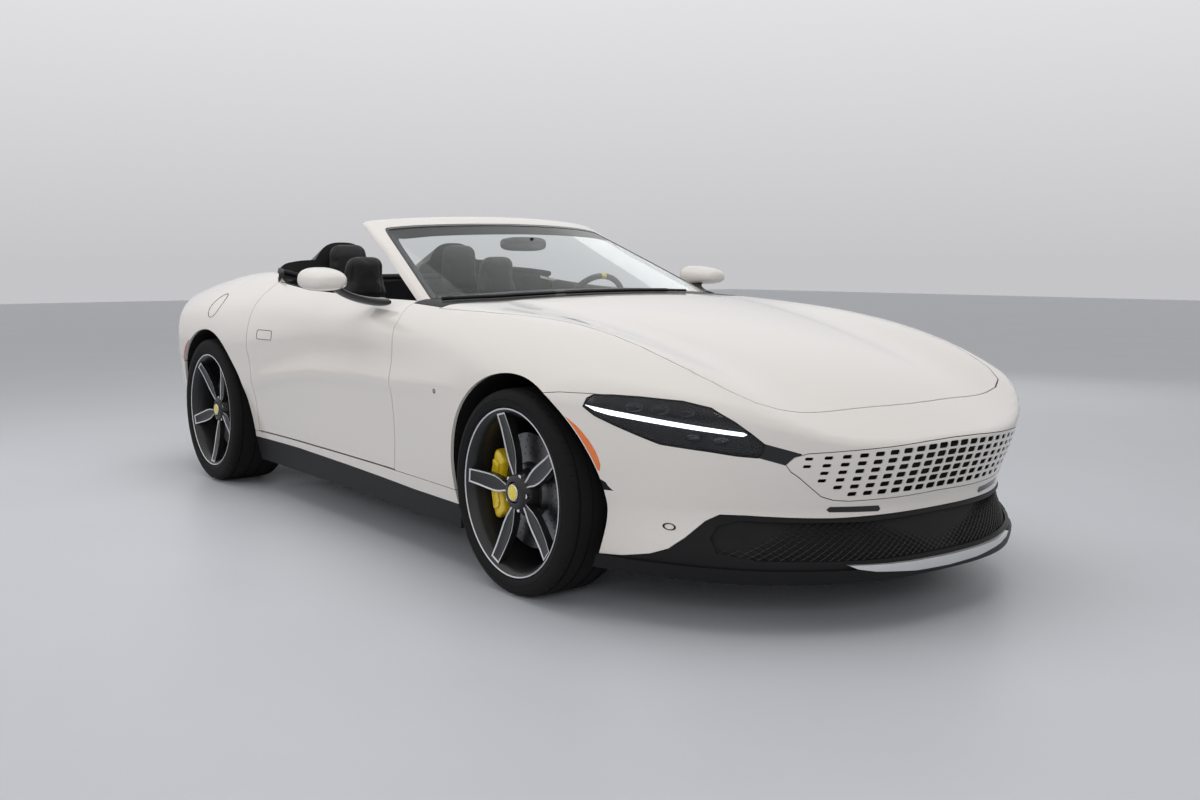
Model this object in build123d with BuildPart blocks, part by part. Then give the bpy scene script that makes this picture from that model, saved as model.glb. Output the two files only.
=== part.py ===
"""Open two-plus-two roadster: body, closures, running gear and cabin.

Millimetres.  +X forward, +Y left, +Z up; the origin is on the ground below
the middle of the car.  Each piece is written to parts/ as its own STEP file.
"""
from build123d import *
import os
from math import cos, radians, sin

os.makedirs("parts", exist_ok=True)

# ---------------------------------------------------------------- driving sizes
WHEELBASE = 2670
FRONT_AXLE = 1318                       # x of the front axle
REAR_AXLE = FRONT_AXLE - WHEELBASE
FRONT_OVERHANG = 1010
REAR_OVERHANG = 976
NOSE = FRONT_AXLE + FRONT_OVERHANG
TAIL = REAR_AXLE - REAR_OVERHANG
FRONT_TRACK = 1652
REAR_TRACK = 1679
UNDERSIDE = 150                         # z of the flat floor

FRONT_TYRE_R = 340
REAR_TYRE_R = 354
FRONT_TYRE_W = 245
REAR_TYRE_W = 280
RIM_R = 254                             # bead seat
FLANGE_R = 268
BARREL_WALL = 9
STUB_R = 30
RUNNING_FIT = 0.1
SEAT_GAP = 0.3                          # between pieces that only rest on each other

FRONT_ARCH_R = 390
REAR_ARCH_R = 402
WELL_INNER = 470                        # y of the wheel wells' inner walls
SKIN = 18                               # outer panels
GAP = 5                                 # shut lines
DOOR_INNER = 788                        # y of a door's inner face
KINGPIN_Y = 796
KINGPIN_R = 12
LOWER_BALL_Z = 180
UPPER_BALL_Z = 500

SEAT_Y = 380
WHEEL_DIA = 360                         # steering wheel
WHEEL_CENTRE = (30, SEAT_Y, 862)
WHEEL_RAKE = 22                         # degrees from upright
SPINDLE_R = 12

# ---------------------------------------------------------------- body sections
# Half sections.  x is measured from the named axle or end, y and z are absolute:
# ridge = centre line height, valley = beside the centre panel, crest = top of the
# fender, shoulder = where it turns down, hip = widest, mid and sill below it.
SECTIONS = [
    # x,                 ridge, valley(y, z), crest(y, z), shoulder(y, z), hip(y, z), mid y, sill y
    (TAIL - 72,          853, 450, 838, 640, 836, 836, 772, 867, 653, 844, 806),
    (REAR_AXLE - 748,    908, 450, 895, 690, 900, 885, 828, 939, 670, 903, 856),
    (REAR_AXLE - 348,    967, 450, 958, 705, 987, 908, 876, 982, 668, 946, 876),
    (REAR_AXLE,          1000, 450, 995, 700, 1030, 908, 893, 986, 659, 955, 877),
    (REAR_AXLE + 552,    1005, 450, 996, 700, 1010, 870, 918, 954, 696, 909, 868),
    (FRONT_AXLE - 1518,  990, 450, 980, 690, 978, 869, 904, 925, 699, 895, 872),
    (FRONT_AXLE - 868,   974, 450, 961, 700, 952, 865, 876, 926, 665, 906, 882),
    (FRONT_AXLE - 418,   943, 450, 928, 690, 932, 874, 843, 946, 618, 931, 893),
    (FRONT_AXLE,         885, 450, 866, 690, 886, 885, 791, 955, 574, 945, 890),
    (FRONT_AXLE + 432,   791, 450, 765, 665, 795, 864, 690, 916, 588, 900, 845),
    (FRONT_AXLE + 732,   693, 450, 660, 636, 684, 842, 573, 873, 498, 865, 812),
    (NOSE + 22,          560, 450, 538, 610, 536, 776, 480, 808, 440, 806, 780),
]
MID_Z = 420
SILL_Z = 170

# Nose and tail: how far each waterline stands back from the foremost one.
WATERLINES = [
    # z, nose set back, tail set back
    (UNDERSIDE - 20, 15, 210),
    (UNDERSIDE + 50, 15, 150),
    (350, 60, 45),
    (400, 48, 30),
    (540, 2, 5),
    (640, 0, 0),
    (900, 0, 12),
    (1250, 0, 60),
]
NOSE_HALF = 620                         # y where the nose turns into its corner
NOSE_DROP = 219                         # x lost by there
CORNER_MID = (439, 790)
CORNER_END = (795, 930)
TAIL_DROP = 109
TAIL_MID = (228, 790)
TAIL_END = (480, 955)


def lofted_sections(inset):
    """The body between the axles and ends, drawn in by inset all round."""
    with BuildPart() as hull:
        for row in SECTIONS:
            x, ridge, vy, vz, cy, cz, sy, sz, hy, hz, my, by = row
            low = UNDERSIDE + inset
            top = (0, ridge - inset)
            sill, mid, hip = (by - inset, low), (my - inset, MID_Z), (hy - inset, hz)
            shoulder, crest, valley = (sy - 0.7 * inset, sz - 0.7 * inset), (cy, cz - inset), (vy, vz - inset)
            with BuildSketch(Plane.YZ.offset(x)):
                with BuildLine():
                    Line((-sill[0], low), sill)
                    for s in (1, -1):
                        ThreePointArc((s * sill[0], low), (s * mid[0], mid[1]), (s * hip[0], hip[1]))
                        ThreePointArc((s * hip[0], hip[1]), (s * shoulder[0], shoulder[1]), (s * crest[0], crest[1]))
                        ThreePointArc((s * crest[0], crest[1]), (s * valley[0], valley[1]), top)
                make_face()
        loft()
    return hull.part


def lofted_waterlines(inset):
    """Plan outline of nose and tail, stacked up in z."""
    with BuildPart() as plan:
        for z, nose_back, tail_back in WATERLINES:
            nose = NOSE - nose_back - inset
            tail = TAIL + tail_back + inset
            with BuildSketch(Plane.XY.offset(z)):
                with BuildLine():
                    ThreePointArc((nose - NOSE_DROP, -NOSE_HALF), (nose, 0), (nose - NOSE_DROP, NOSE_HALF))
                    ThreePointArc((tail + TAIL_DROP, -NOSE_HALF), (tail, 0), (tail + TAIL_DROP, NOSE_HALF))
                    for s in (1, -1):
                        ThreePointArc((nose - NOSE_DROP, s * NOSE_HALF),
                                      (nose - CORNER_MID[0], s * CORNER_MID[1]),
                                      (nose - CORNER_END[0], s * CORNER_END[1]))
                        ThreePointArc((tail + TAIL_DROP, s * NOSE_HALF),
                                      (tail + TAIL_MID[0], s * TAIL_MID[1]),
                                      (tail + TAIL_END[0], s * TAIL_END[1]))
                        Line((nose - CORNER_END[0], s * CORNER_END[1]), (0, s * 1100))
                        Line((0, s * 1100), (tail + TAIL_END[0], s * TAIL_END[1]))
                make_face()
        loft(ruled=True)
    return plan.part


outer = lofted_sections(0) & lofted_waterlines(0)
inner = lofted_sections(SKIN) & lofted_waterlines(SKIN)
skin = outer - inner
core = lofted_sections(SKIN + SEAT_GAP) & lofted_waterlines(SKIN + SEAT_GAP)

# ---------------------------------------------------------------- shut lines and openings
BONNET_REAR = 800                       # on the centre line
BONNET_REAR_SIDE = (640, 795)
BONNET_SIDE = [(FRONT_AXLE - 318, 762), (FRONT_AXLE + 27, 676), (FRONT_AXLE + 570, 650), (FRONT_AXLE + 760, 600),
               (FRONT_AXLE + 802, 385)]
BONNET_FRONT = NOSE - 171
COWL_REAR = [(520, 0), (470, 400), (420, 700)]
COWL_HALF = 788
CABIN_REAR = REAR_AXLE + 202            # front edge of the rear deck
CABIN_HALF = 780
DECK_HALF = 690
TONNEAU_LENGTH = 560
LID_GAP = 16                            # the two lids' edges swing past each other
TONNEAU_REAR = CABIN_REAR - TONNEAU_LENGTH
BOOT_FRONT = TONNEAU_REAR - LID_GAP
BOOT_REAR = TAIL + 105
BOOT_HALF = 560
LID_WELL_FLOOR = 640                    # ledges under the rear lids, where their hinges stand

DOOR_BOTTOM = 295
DOOR_FRONT = [(443, DOOR_BOTTOM), (468, 409), (485, 565), (478, 697), (458, 864), (427, 918), (395, 1100)]
DOOR_REAR = -898
SKIRT_TOP = DOOR_BOTTOM - GAP
SEAM = 0.8                              # between fixed panels
SPLITTER_TOP = 193
INTAKE_FLOOR = 205
FENDER_SEAM = [(FRONT_AXLE + 184, 684), (FRONT_AXLE + 357, 692), (FRONT_AXLE + 704, 668)]
BUMPER_EDGE = [(2400, 350), (2050, 360), (2006, 354), (1934, 279), (1894, 242), (1844, 222), (1641, 198), (1540, 198)]
REAR_SEAM_Z = 600
VALANCE_Z = 340
ROOF = 1400                             # above everything
SIDE = 1100                             # outside everything


def top_prism(points, low, high, grow=0):
    """Upright prism on a plan outline given for y >= 0 and mirrored across the centre."""
    outline = points + [(x, -y) for x, y in reversed(points) if y > 0]
    with BuildPart() as prism:
        with BuildSketch(Plane.XY.offset(low)):
            with BuildLine():
                Polyline(*outline, close=True)
            make_face()
            if grow:
                offset(amount=grow, kind=Kind.INTERSECTION)
        extrude(amount=high - low)
    return prism.part


def side_prism(points, y_low=0, y_high=SIDE, grow=0):
    """Prism on a side-view (x, z) outline, between two widths on the left."""
    with BuildPart() as prism:
        with BuildSketch(Plane.XZ.offset(-y_low)):
            with BuildLine():
                Polyline(*points, close=True)
            make_face()
            if grow:
                offset(amount=grow, kind=Kind.INTERSECTION)
        extrude(amount=y_low - y_high)
    return prism.part


def block(x_low, x_high, y_low, y_high, z_low, z_high):
    """A box between six planes."""
    with BuildPart() as box:
        with Locations(((x_low + x_high) / 2, (y_low + y_high) / 2, (z_low + z_high) / 2)):
            Box(x_high - x_low, y_high - y_low, z_high - z_low)
    return box.part


def cross_bar(x, z, radius, y_low, y_high):
    """A round bar lying across the car."""
    with BuildPart() as bar:
        with Locations(Plane((x, (y_low + y_high) / 2, z), z_dir=(0, 1, 0))):
            Cylinder(radius, y_high - y_low)
    return bar.part


def both(part):
    """A left-hand piece together with its mirror image."""
    return part + mirror(part, about=Plane.XZ)


def save(part, name):
    """Label a finished piece and write its STEP file."""
    part.label = name
    export_step(part, f"parts/{name}.step")


def bonnet_outline():
    side_x, side_y = BONNET_REAR_SIDE
    return [(BONNET_REAR, 0), (BONNET_REAR - 38, side_y / 2), (side_x, side_y), *BONNET_SIDE, (BONNET_FRONT, 0)]


def cowl_outline():
    side_x, side_y = BONNET_REAR_SIDE
    return [(BONNET_REAR - GAP, 0), (BONNET_REAR - 38 - GAP, side_y / 2), (side_x - GAP, COWL_HALF),
            (COWL_REAR[2][0] + 8, COWL_HALF), *reversed(COWL_REAR)]


cabin_outline = [*COWL_REAR, (410, CABIN_HALF), (DOOR_REAR, CABIN_HALF), (CABIN_REAR, DECK_HALF + 40), (CABIN_REAR, 0)]
tonneau_outline = [(CABIN_REAR - GAP, 0), (CABIN_REAR - GAP, DECK_HALF - 10), (TONNEAU_REAR, DECK_HALF - 70),
                   (TONNEAU_REAR, 0)]
boot_outline = [(BOOT_FRONT, 0), (BOOT_FRONT, BOOT_HALF), (BOOT_REAR, BOOT_HALF - 50), (BOOT_REAR, 0)]
door_outline = [(DOOR_REAR, DOOR_BOTTOM), *DOOR_FRONT, (DOOR_REAR, ROOF)]

bonnet_zone = top_prism(bonnet_outline(), 500, ROOF)
bonnet_room = top_prism(bonnet_outline(), 540, ROOF, GAP)
cowl_zone = top_prism(cowl_outline(), 400, ROOF)
cowl_room = top_prism(cowl_outline(), 400, ROOF, SEAM)
cabin_zone = top_prism(cabin_outline, 420, ROOF)
tonneau_zone = top_prism(tonneau_outline, 700, ROOF)
tonneau_room = top_prism(tonneau_outline, LID_WELL_FLOOR, ROOF, GAP)
boot_zone = top_prism(boot_outline, 700, ROOF)
boot_room = top_prism(boot_outline, LID_WELL_FLOOR, ROOF, GAP)
door_zone = side_prism(door_outline, DOOR_INNER)
door_room = both(side_prism(door_outline, DOOR_INNER - 8, grow=GAP))
arches = (cross_bar(FRONT_AXLE, FRONT_TYRE_R, FRONT_ARCH_R, WELL_INNER, SIDE)
          + cross_bar(REAR_AXLE, REAR_TYRE_R, REAR_ARCH_R, WELL_INNER, SIDE))

fender_outline = [(448, SKIRT_TOP + SEAM), (474, 409), (491, 565), (484, 697), (464, 864), (433, 918), (401, 1100),
                  (FRONT_AXLE + 704, 1100), *reversed(FENDER_SEAM), (FRONT_AXLE, FRONT_TYRE_R),
                  (FRONT_AXLE, SKIRT_TOP + SEAM)]
bumper_outline = [(FRONT_AXLE + 150, FRONT_TYRE_R), *[(x, z - SEAM) for x, z in FENDER_SEAM],
                  (FRONT_AXLE + 704 + SEAM, 1100), (2400, 1100), *BUMPER_EDGE]
intake_outline = [(2400, 348), (2040, 352), (1976, 316), (1940, 272), (1890, 236), (1790, INTAKE_FLOOR),
                  (2400, INTAKE_FLOOR)]
quarter_outline = [(DOOR_REAR - GAP, SKIRT_TOP + SEAM), (DOOR_REAR - GAP, 1100), (BOOT_REAR + 20, 1100),
                   (BOOT_REAR + 20, REAR_SEAM_Z + 45), (REAR_AXLE - 358, REAR_SEAM_Z), (REAR_AXLE, REAR_TYRE_R),
                   (REAR_AXLE, SKIRT_TOP + SEAM)]
rear_bumper_outline = [(REAR_AXLE - 250, REAR_SEAM_Z - 180), (REAR_AXLE - 358, REAR_SEAM_Z - SEAM),
                       (BOOT_REAR + 20 - SEAM, REAR_SEAM_Z + 45 - SEAM), (BOOT_REAR + 20 - SEAM, 1100),
                       (TAIL - 80, 1100), (TAIL - 80, VALANCE_Z), (REAR_AXLE - 250, VALANCE_Z)]

# ---------------------------------------------------------------- nose details
# The lamp lies in an upright plane across the front corner: u runs forward along it, z up.
LAMP_PLANE = Plane((1660, 898, 0), x_dir=(0.85, -0.527, 0), z_dir=(-0.527, -0.85, 0))
LAMP_OUTLINE = [(0, 653), (22, 689), (187, 690), (321, 683), (404, 667), (474, 630), (555, 567), (540, 526),
                (405, 541), (252, 551), (177, 577), (59, 623)]
LAMP_TIP = [(557, 565), (650, 537), (612, 504), (543, 527)]
GRILLE_OUTLINE = [(0, 557), (235, 550), (394, 544), (512, 537), (545, 506), (506, 468), (433, 407), (348, 390),
                  (173, 387), (0, 392)]
LAMP_GAP = 0.8
GRILLE_GAP = 0.8
GRILLE_ROWS = [
    # z, half width of the row, hole height
    (540, 430, 15),
    (517, 460, 17),
    (492, 450, 19),
    (466, 420, 19),
    (440, 380, 18),
    (414, 330, 16),
]
GRILLE_PITCH = 62
GRILLE_HOLE = 44


def lamp_prism(points, grow=0):
    with BuildPart() as prism:
        with BuildSketch(LAMP_PLANE.offset(-150)):
            with BuildLine():
                Polyline(*points, close=True)
            make_face()
            if grow:
                offset(amount=grow, kind=Kind.INTERSECTION)
        extrude(amount=300)
    return prism.part


def front_prism(points, x_low, x_high, grow=0):
    """Prism along the car on a front-view (y, z) outline given for y >= 0."""
    outline = points + [(-y, z) for y, z in reversed(points) if y > 0]
    with BuildPart() as prism:
        with BuildSketch(Plane.YZ.offset(x_low)):
            with BuildLine():
                Polyline(*outline, close=True)
            make_face()
            if grow:
                offset(amount=grow, kind=Kind.INTERSECTION)
        extrude(amount=x_high - x_low)
    return prism.part


lamps_room = lamp_prism(LAMP_OUTLINE, LAMP_GAP) + lamp_prism(LAMP_TIP, LAMP_GAP)
grille_zone = front_prism(GRILLE_OUTLINE, 1950, 2400)
grille_room = front_prism(GRILLE_OUTLINE, 1950, 2400, GRILLE_GAP)
LAMP_Y = (600, 775)                     # tail lamps
LAMP_Z = (705, 770)
TAIL_LAMP_X = (TAIL - 60, TAIL + 330)
tail_lamp_room = block(*TAIL_LAMP_X, *LAMP_Y, *LAMP_Z)

# ---------------------------------------------------------------- outer panels
# Pieces that come in pairs, or cross the centre, are cut on the left and mirrored.
with BuildPart() as bonnet_panel:
    add(skin)
    add(bonnet_zone, mode=Mode.INTERSECT)

with BuildPart() as cowl:
    add(skin)
    add(cowl_zone, mode=Mode.INTERSECT)

with BuildPart() as fenders:
    add(skin)
    add(side_prism(fender_outline), mode=Mode.INTERSECT)
    for cutter in (bonnet_room, cowl_room, cabin_zone, arches, lamps_room):
        add(cutter, mode=Mode.SUBTRACT)
    mirror(about=Plane.XZ)

# Room for the bonnet's corners, which dip as it opens.
bonnet_swing = both(block(NOSE - 273, NOSE - 232, 579, 617, 633, 682))

with BuildPart() as front_bumper:
    add(skin)
    add(side_prism(bumper_outline, -SIDE, SIDE), mode=Mode.INTERSECT)
    for cutter in (bonnet_room, both(arches), both(lamps_room), grille_room, bonnet_swing):
        add(cutter, mode=Mode.SUBTRACT)

with BuildPart() as grille:
    add(skin)
    add(grille_zone, mode=Mode.INTERSECT)
    for z, half, height in GRILLE_ROWS:
        count = int(half // GRILLE_PITCH)
        with BuildSketch(Plane.YZ.offset(1950)):
            with Locations(*[(i * GRILLE_PITCH, z) for i in range(-count, count + 1)]):
                Rectangle(GRILLE_HOLE, height)
        extrude(amount=450, mode=Mode.SUBTRACT)

with BuildPart() as lower_grille:
    add(skin)
    add(side_prism(intake_outline, -690, 690), mode=Mode.INTERSECT)

with BuildPart() as headlamps:
    add(skin)
    add(lamp_prism(LAMP_OUTLINE), mode=Mode.INTERSECT)
    mirror(about=Plane.XZ)

with BuildPart() as lamp_surrounds:
    add(skin)
    add(lamp_prism(LAMP_TIP), mode=Mode.INTERSECT)
    add(grille_room, mode=Mode.SUBTRACT)
    mirror(about=Plane.XZ)

with BuildPart() as splitter:
    add(outer)
    add(block(1560, NOSE + 60, -SIDE, SIDE, UNDERSIDE - 10, SPLITTER_TOP), mode=Mode.INTERSECT)
    add(both(arches), mode=Mode.SUBTRACT)

with BuildPart() as side_skirts:
    add(skin)
    add(block(REAR_AXLE + 250, FRONT_AXLE - 250, 790, SIDE, UNDERSIDE - 10, SKIRT_TOP), mode=Mode.INTERSECT)
    add(arches, mode=Mode.SUBTRACT)
    mirror(about=Plane.XZ)

with BuildPart() as rear_quarters:
    add(skin)
    add(side_prism(quarter_outline), mode=Mode.INTERSECT)
    for cutter in (cabin_zone, tonneau_room, boot_room, tail_lamp_room, arches):
        add(cutter, mode=Mode.SUBTRACT)
    mirror(about=Plane.XZ)

# Two holes for the number plate's screws, run on into the structure behind.
PLATE_SPACING = 178
PLATE_Z = 460
PLATE_HOLE_R = 3.5
PLATE_HOLE_DEPTH = 60
with BuildPart() as plate_holes:
    with BuildSketch(Plane.YZ.offset(TAIL - 20)):
        with GridLocations(PLATE_SPACING, 0, 2, 1):
            with Locations((0, PLATE_Z)):
                Circle(PLATE_HOLE_R)
    extrude(amount=20 + PLATE_HOLE_DEPTH)

with BuildPart() as rear_bumper:
    add(skin)
    add(side_prism(rear_bumper_outline, -SIDE, SIDE), mode=Mode.INTERSECT)
    for cutter in (boot_room, both(tail_lamp_room), both(arches), plate_holes.part):
        add(cutter, mode=Mode.SUBTRACT)

with BuildPart() as tail_lamps:
    add(skin)
    add(block(*TAIL_LAMP_X, LAMP_Y[0] + 1, LAMP_Y[1] - 1, LAMP_Z[0] + 1, LAMP_Z[1] - 1), mode=Mode.INTERSECT)
    mirror(about=Plane.XZ)

TAILPIPE_R = 45
TAILPIPE_Y = (480, 590, -480, -590)
TAILPIPE_Z = 270
TAILPIPE_TIP = 40                       # tips stand this far inside the tail
TAILPIPE_LENGTH = 200
with BuildPart() as pipe_room:
    for y in TAILPIPE_Y:
        with Locations(Plane((TAIL - 60, y, TAILPIPE_Z), z_dir=(1, 0, 0))):
            Cylinder(TAILPIPE_R + SEAT_GAP, 60 + TAILPIPE_TIP + TAILPIPE_LENGTH + SEAT_GAP,
                     align=(Align.CENTER, Align.CENTER, Align.MIN))

with BuildPart() as diffuser:
    add(skin)
    add(block(*TAIL_LAMP_X[:1], REAR_AXLE - 300, -SIDE, SIDE, UNDERSIDE - 10, VALANCE_Z - 2), mode=Mode.INTERSECT)
    add(both(arches), mode=Mode.SUBTRACT)
    add(pipe_room.part, mode=Mode.SUBTRACT)

# ---------------------------------------------------------------- hinges of the opening panels
DOOR_AXIS = (381, 911)                  # x, y of the left door's hinge line
DOOR_HINGE_Z = 655
HINGE_PIN_R = 5
HINGE_ARM = 12                          # thickness of a hinge arm
ARM_ROOM = 5
PIN_LENGTH = 80
BONNET_AXIS = (NOSE - 268, 645)         # x, z
BOOT_AXIS = (BOOT_FRONT - 120, 912)
TONNEAU_AXIS = (TONNEAU_REAR + 100, 936)
BONNET_HINGE_Y = 330
DECK_HINGE_Y = 500

# ---------------------------------------------------------------- body shell behind the panels
ENGINE_BAY_HALF = 425
BAY_FLOOR = UNDERSIDE + 60
FIREWALL = 760
CABIN_FLOOR = 190
TUNNEL = (110, 400)                     # half width, top
SILL_INNER = 700
SILL_TOP = DOOR_BOTTOM + 10
FOOTWELL_FRONT = 600
SEAT_BULKHEAD = CABIN_REAR
BOOT_FLOOR = 430
NOSE_BAY_FLOOR = 375

# Hollows behind the front corners, outside a thin wheel well liner.
CORNER_VOID_TOP = 400
CORNER_VOID_INNER = 700
LINER = 12
corner_voids = both(block(FRONT_AXLE, NOSE + 60, CORNER_VOID_INNER, SIDE, 0, CORNER_VOID_TOP)
                    - cross_bar(FRONT_AXLE, FRONT_TYRE_R, FRONT_ARCH_R + LINER, 0, SIDE)
                    + block(FRONT_AXLE, NOSE + 60, CORNER_VOID_INNER + 100, SIDE, 0, CORNER_VOID_TOP))

# Flat seats for a jack, let into the floor beside the sills.
JACK_PAD = (120, 80)
JACK_PAD_AT = (800, 700)
JACK_PAD_Z = UNDERSIDE + SKIN + 3
with BuildPart() as jack_seats:
    for sx in (1, -1):
        for sy in (1, -1):
            x, y = sx * JACK_PAD_AT[0], sy * JACK_PAD_AT[1]
            add(block(x - JACK_PAD[0] / 2, x + JACK_PAD[0] / 2, y - JACK_PAD[1] / 2, y + JACK_PAD[1] / 2, 0, JACK_PAD_Z))
jack_pads = jack_seats.part

# Room for the opening panels' edges on their way.
door_swing = both(block(DOOR_AXIS[0] - 52, DOOR_AXIS[0] + 104, DOOR_INNER - 38, DOOR_INNER, DOOR_BOTTOM - 8, 906))
lid_swing = both(block(TONNEAU_REAR - 25, TONNEAU_REAR + 4, 462, 636, BOOT_AXIS[1] - 45, BOOT_AXIS[1] + 48))

with BuildPart() as body_shell:
    add(core)
    for cutter in (
        block(FIREWALL, NOSE - 320, -ENGINE_BAY_HALF, ENGINE_BAY_HALF, BAY_FLOOR, ROOF),
        bonnet_room,
        top_prism([(FIREWALL, 0), (FIREWALL, 790), (1240, 720), (NOSE - 400, 600), (NOSE - 320, 0)], 765, ROOF),
        block(NOSE - 320, NOSE + 60, -540, 540, NOSE_BAY_FLOOR, ROOF),
        block(1555, NOSE + 60, -SIDE, SIDE, 0, SPLITTER_TOP + SEAT_GAP),
        both(block(DOOR_REAR - 8, 420, SILL_INNER - 1, CABIN_HALF, SILL_TOP, ROOF)),
        block(SEAT_BULKHEAD + 20, FOOTWELL_FRONT, TUNNEL[0], SILL_INNER, CABIN_FLOOR, ROOF),
        block(SEAT_BULKHEAD + 20, FOOTWELL_FRONT, -SILL_INNER, -TUNNEL[0], CABIN_FLOOR, ROOF),
        block(SEAT_BULKHEAD + 20, FOOTWELL_FRONT, -SILL_INNER, SILL_INNER, TUNNEL[1], ROOF),
        door_room,
        top_prism([(TONNEAU_REAR, 0), (TONNEAU_REAR, 560), (SEAT_BULKHEAD - 20, 600), (SEAT_BULKHEAD - 20, 0)],
                  700, ROOF),
        block(BOOT_REAR + 20, TONNEAU_REAR - 20, -470, 470, BOOT_FLOOR, ROOF),
        block(BOOT_REAR + 20, BOOT_FRONT + 150, -470, 470, 720, ROOF),
        tonneau_room,
        boot_room,
        both(arches),
        corner_voids,
        jack_pads,
        door_swing,
        bonnet_swing,
        lid_swing,
        plate_holes.part,
        pipe_room.part,
    ):
        add(cutter, mode=Mode.SUBTRACT)
    # Door hinge arm: inboard from its pin, then forward into the post.
    hinge_x, hinge_y = DOOR_AXIS
    for s in (1, -1):
        with BuildSketch(Plane.XY.offset(DOOR_HINGE_Z - HINGE_ARM / 2)):
            with BuildLine():
                Polyline((hinge_x - HINGE_PIN_R, s * (hinge_y + 2)), (hinge_x + HINGE_PIN_R, s * (hinge_y + 2)),
                         (hinge_x + 2 * HINGE_PIN_R, s * (DOOR_INNER - 6)), (520, s * (DOOR_INNER - 6)),
                         (520, s * (DOOR_INNER - 26)), (hinge_x - HINGE_PIN_R, s * (DOOR_INNER - 26)), close=True)
            make_face()
        extrude(amount=HINGE_ARM)
        with Locations((hinge_x, s * hinge_y, DOOR_HINGE_Z)):
            Cylinder(HINGE_PIN_R, PIN_LENGTH)

# ---------------------------------------------------------------- doors
with BuildPart() as door_left:
    add(outer)
    add(door_zone, mode=Mode.INTERSECT)
    # The inner rear corner stands back so that it swings clear.
    add(block(DOOR_REAR - 10, DOOR_REAR + 25, 700, 850, 0, ROOF), mode=Mode.SUBTRACT)
    # Slot for the hinge arm and bore for its pin.
    with BuildSketch(Plane.XY.offset(DOOR_HINGE_Z - HINGE_ARM / 2 - ARM_ROOM)):
        with BuildLine():
            Polyline((hinge_x - 11, DOOR_INNER - 30), (hinge_x - 11, hinge_y), (hinge_x - 7, hinge_y + 7),
                     (hinge_x, hinge_y + 9), (hinge_x + 6, hinge_y + 8), (hinge_x + 125, hinge_y - 60),
                     (hinge_x + 125, DOOR_INNER - 30), close=True)
        make_face()
    extrude(amount=HINGE_ARM + 2 * ARM_ROOM, mode=Mode.SUBTRACT)
    with Locations((hinge_x, hinge_y, DOOR_HINGE_Z)):
        Cylinder(HINGE_PIN_R + RUNNING_FIT, PIN_LENGTH + 4, mode=Mode.SUBTRACT)

# ---------------------------------------------------------------- lids and their hinges
LUG = 10                                # width of a hinge lug
LUG_R = 9


def lid_lugs(axis, hinge_y, top_z):
    """Lugs under a lid on both sides of each hinge bracket."""
    x, z = axis
    with BuildPart() as lugs:
        for s in (1, -1):
            for side in (1, -1):
                y = s * hinge_y + side * (HINGE_ARM / 2 + SEAT_GAP + LUG / 2)
                with Locations((x, y, (z + top_z) / 2)):
                    Box(2 * LUG_R, LUG, top_z - z)
                with Locations(Plane((x, y, z), z_dir=(0, 1, 0))):
                    Cylinder(LUG_R, LUG)
    return lugs.part


def lid_bores(axis, hinge_y):
    """Bores through the lugs, and a groove between them for the bracket's head."""
    x, z = axis
    bore = cross_bar(x, z, HINGE_PIN_R + RUNNING_FIT, hinge_y - 40, hinge_y + 40)
    groove = cross_bar(x, z, LUG_R, hinge_y - HINGE_ARM / 2 - SEAT_GAP, hinge_y + HINGE_ARM / 2 + SEAT_GAP)
    return both(bore + groove)


def lid_brackets(axis, hinge_y, foot_z, foot_x):
    """Brackets that carry a lid's pins, standing on the structure below."""
    x, z = axis
    with BuildPart() as brackets:
        for s in (1, -1):
            with BuildSketch(Plane.XZ.offset(-s * hinge_y - HINGE_ARM / 2)):
                with BuildLine():
                    Polyline((x - 6, z + 3), (x + 6, z + 3), (foot_x + 30, foot_z), (foot_x - 30, foot_z), close=True)
                make_face()
            extrude(amount=HINGE_ARM)
            with Locations(Plane((x, s * hinge_y, z), z_dir=(0, 1, 0))):
                Cylinder(HINGE_PIN_R, HINGE_ARM + 2 * LUG + 2)
    return brackets.part


BRACKET_SLOT = (14, 36, 40)             # behind, ahead of and below the bonnet's pin
with BuildPart() as bonnet:
    add(bonnet_panel.part)
    add(lid_lugs(BONNET_AXIS, BONNET_HINGE_Y, BONNET_AXIS[1] + 22))
    add(lid_bores(BONNET_AXIS, BONNET_HINGE_Y), mode=Mode.SUBTRACT)
    slot_x, slot_z = BONNET_AXIS
    slot_half = HINGE_ARM / 2 + SEAT_GAP
    add(both(block(slot_x - BRACKET_SLOT[0], slot_x + BRACKET_SLOT[1], BONNET_HINGE_Y - slot_half,
                   BONNET_HINGE_Y + slot_half, slot_z - BRACKET_SLOT[2], slot_z + 4)), mode=Mode.SUBTRACT)
    add(both(block(slot_x + BRACKET_SLOT[1] - 1, slot_x + BRACKET_SLOT[1] + 26, BONNET_HINGE_Y - slot_half,
                   BONNET_HINGE_Y + slot_half, slot_z - BRACKET_SLOT[2] - 14, slot_z - 8)), mode=Mode.SUBTRACT)

with BuildPart() as boot_lid:
    add(skin)
    add(boot_zone, mode=Mode.INTERSECT)
    add(lid_lugs(BOOT_AXIS, DECK_HINGE_Y, BOOT_AXIS[1] + 20))
    add(lid_bores(BOOT_AXIS, DECK_HINGE_Y), mode=Mode.SUBTRACT)

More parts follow.
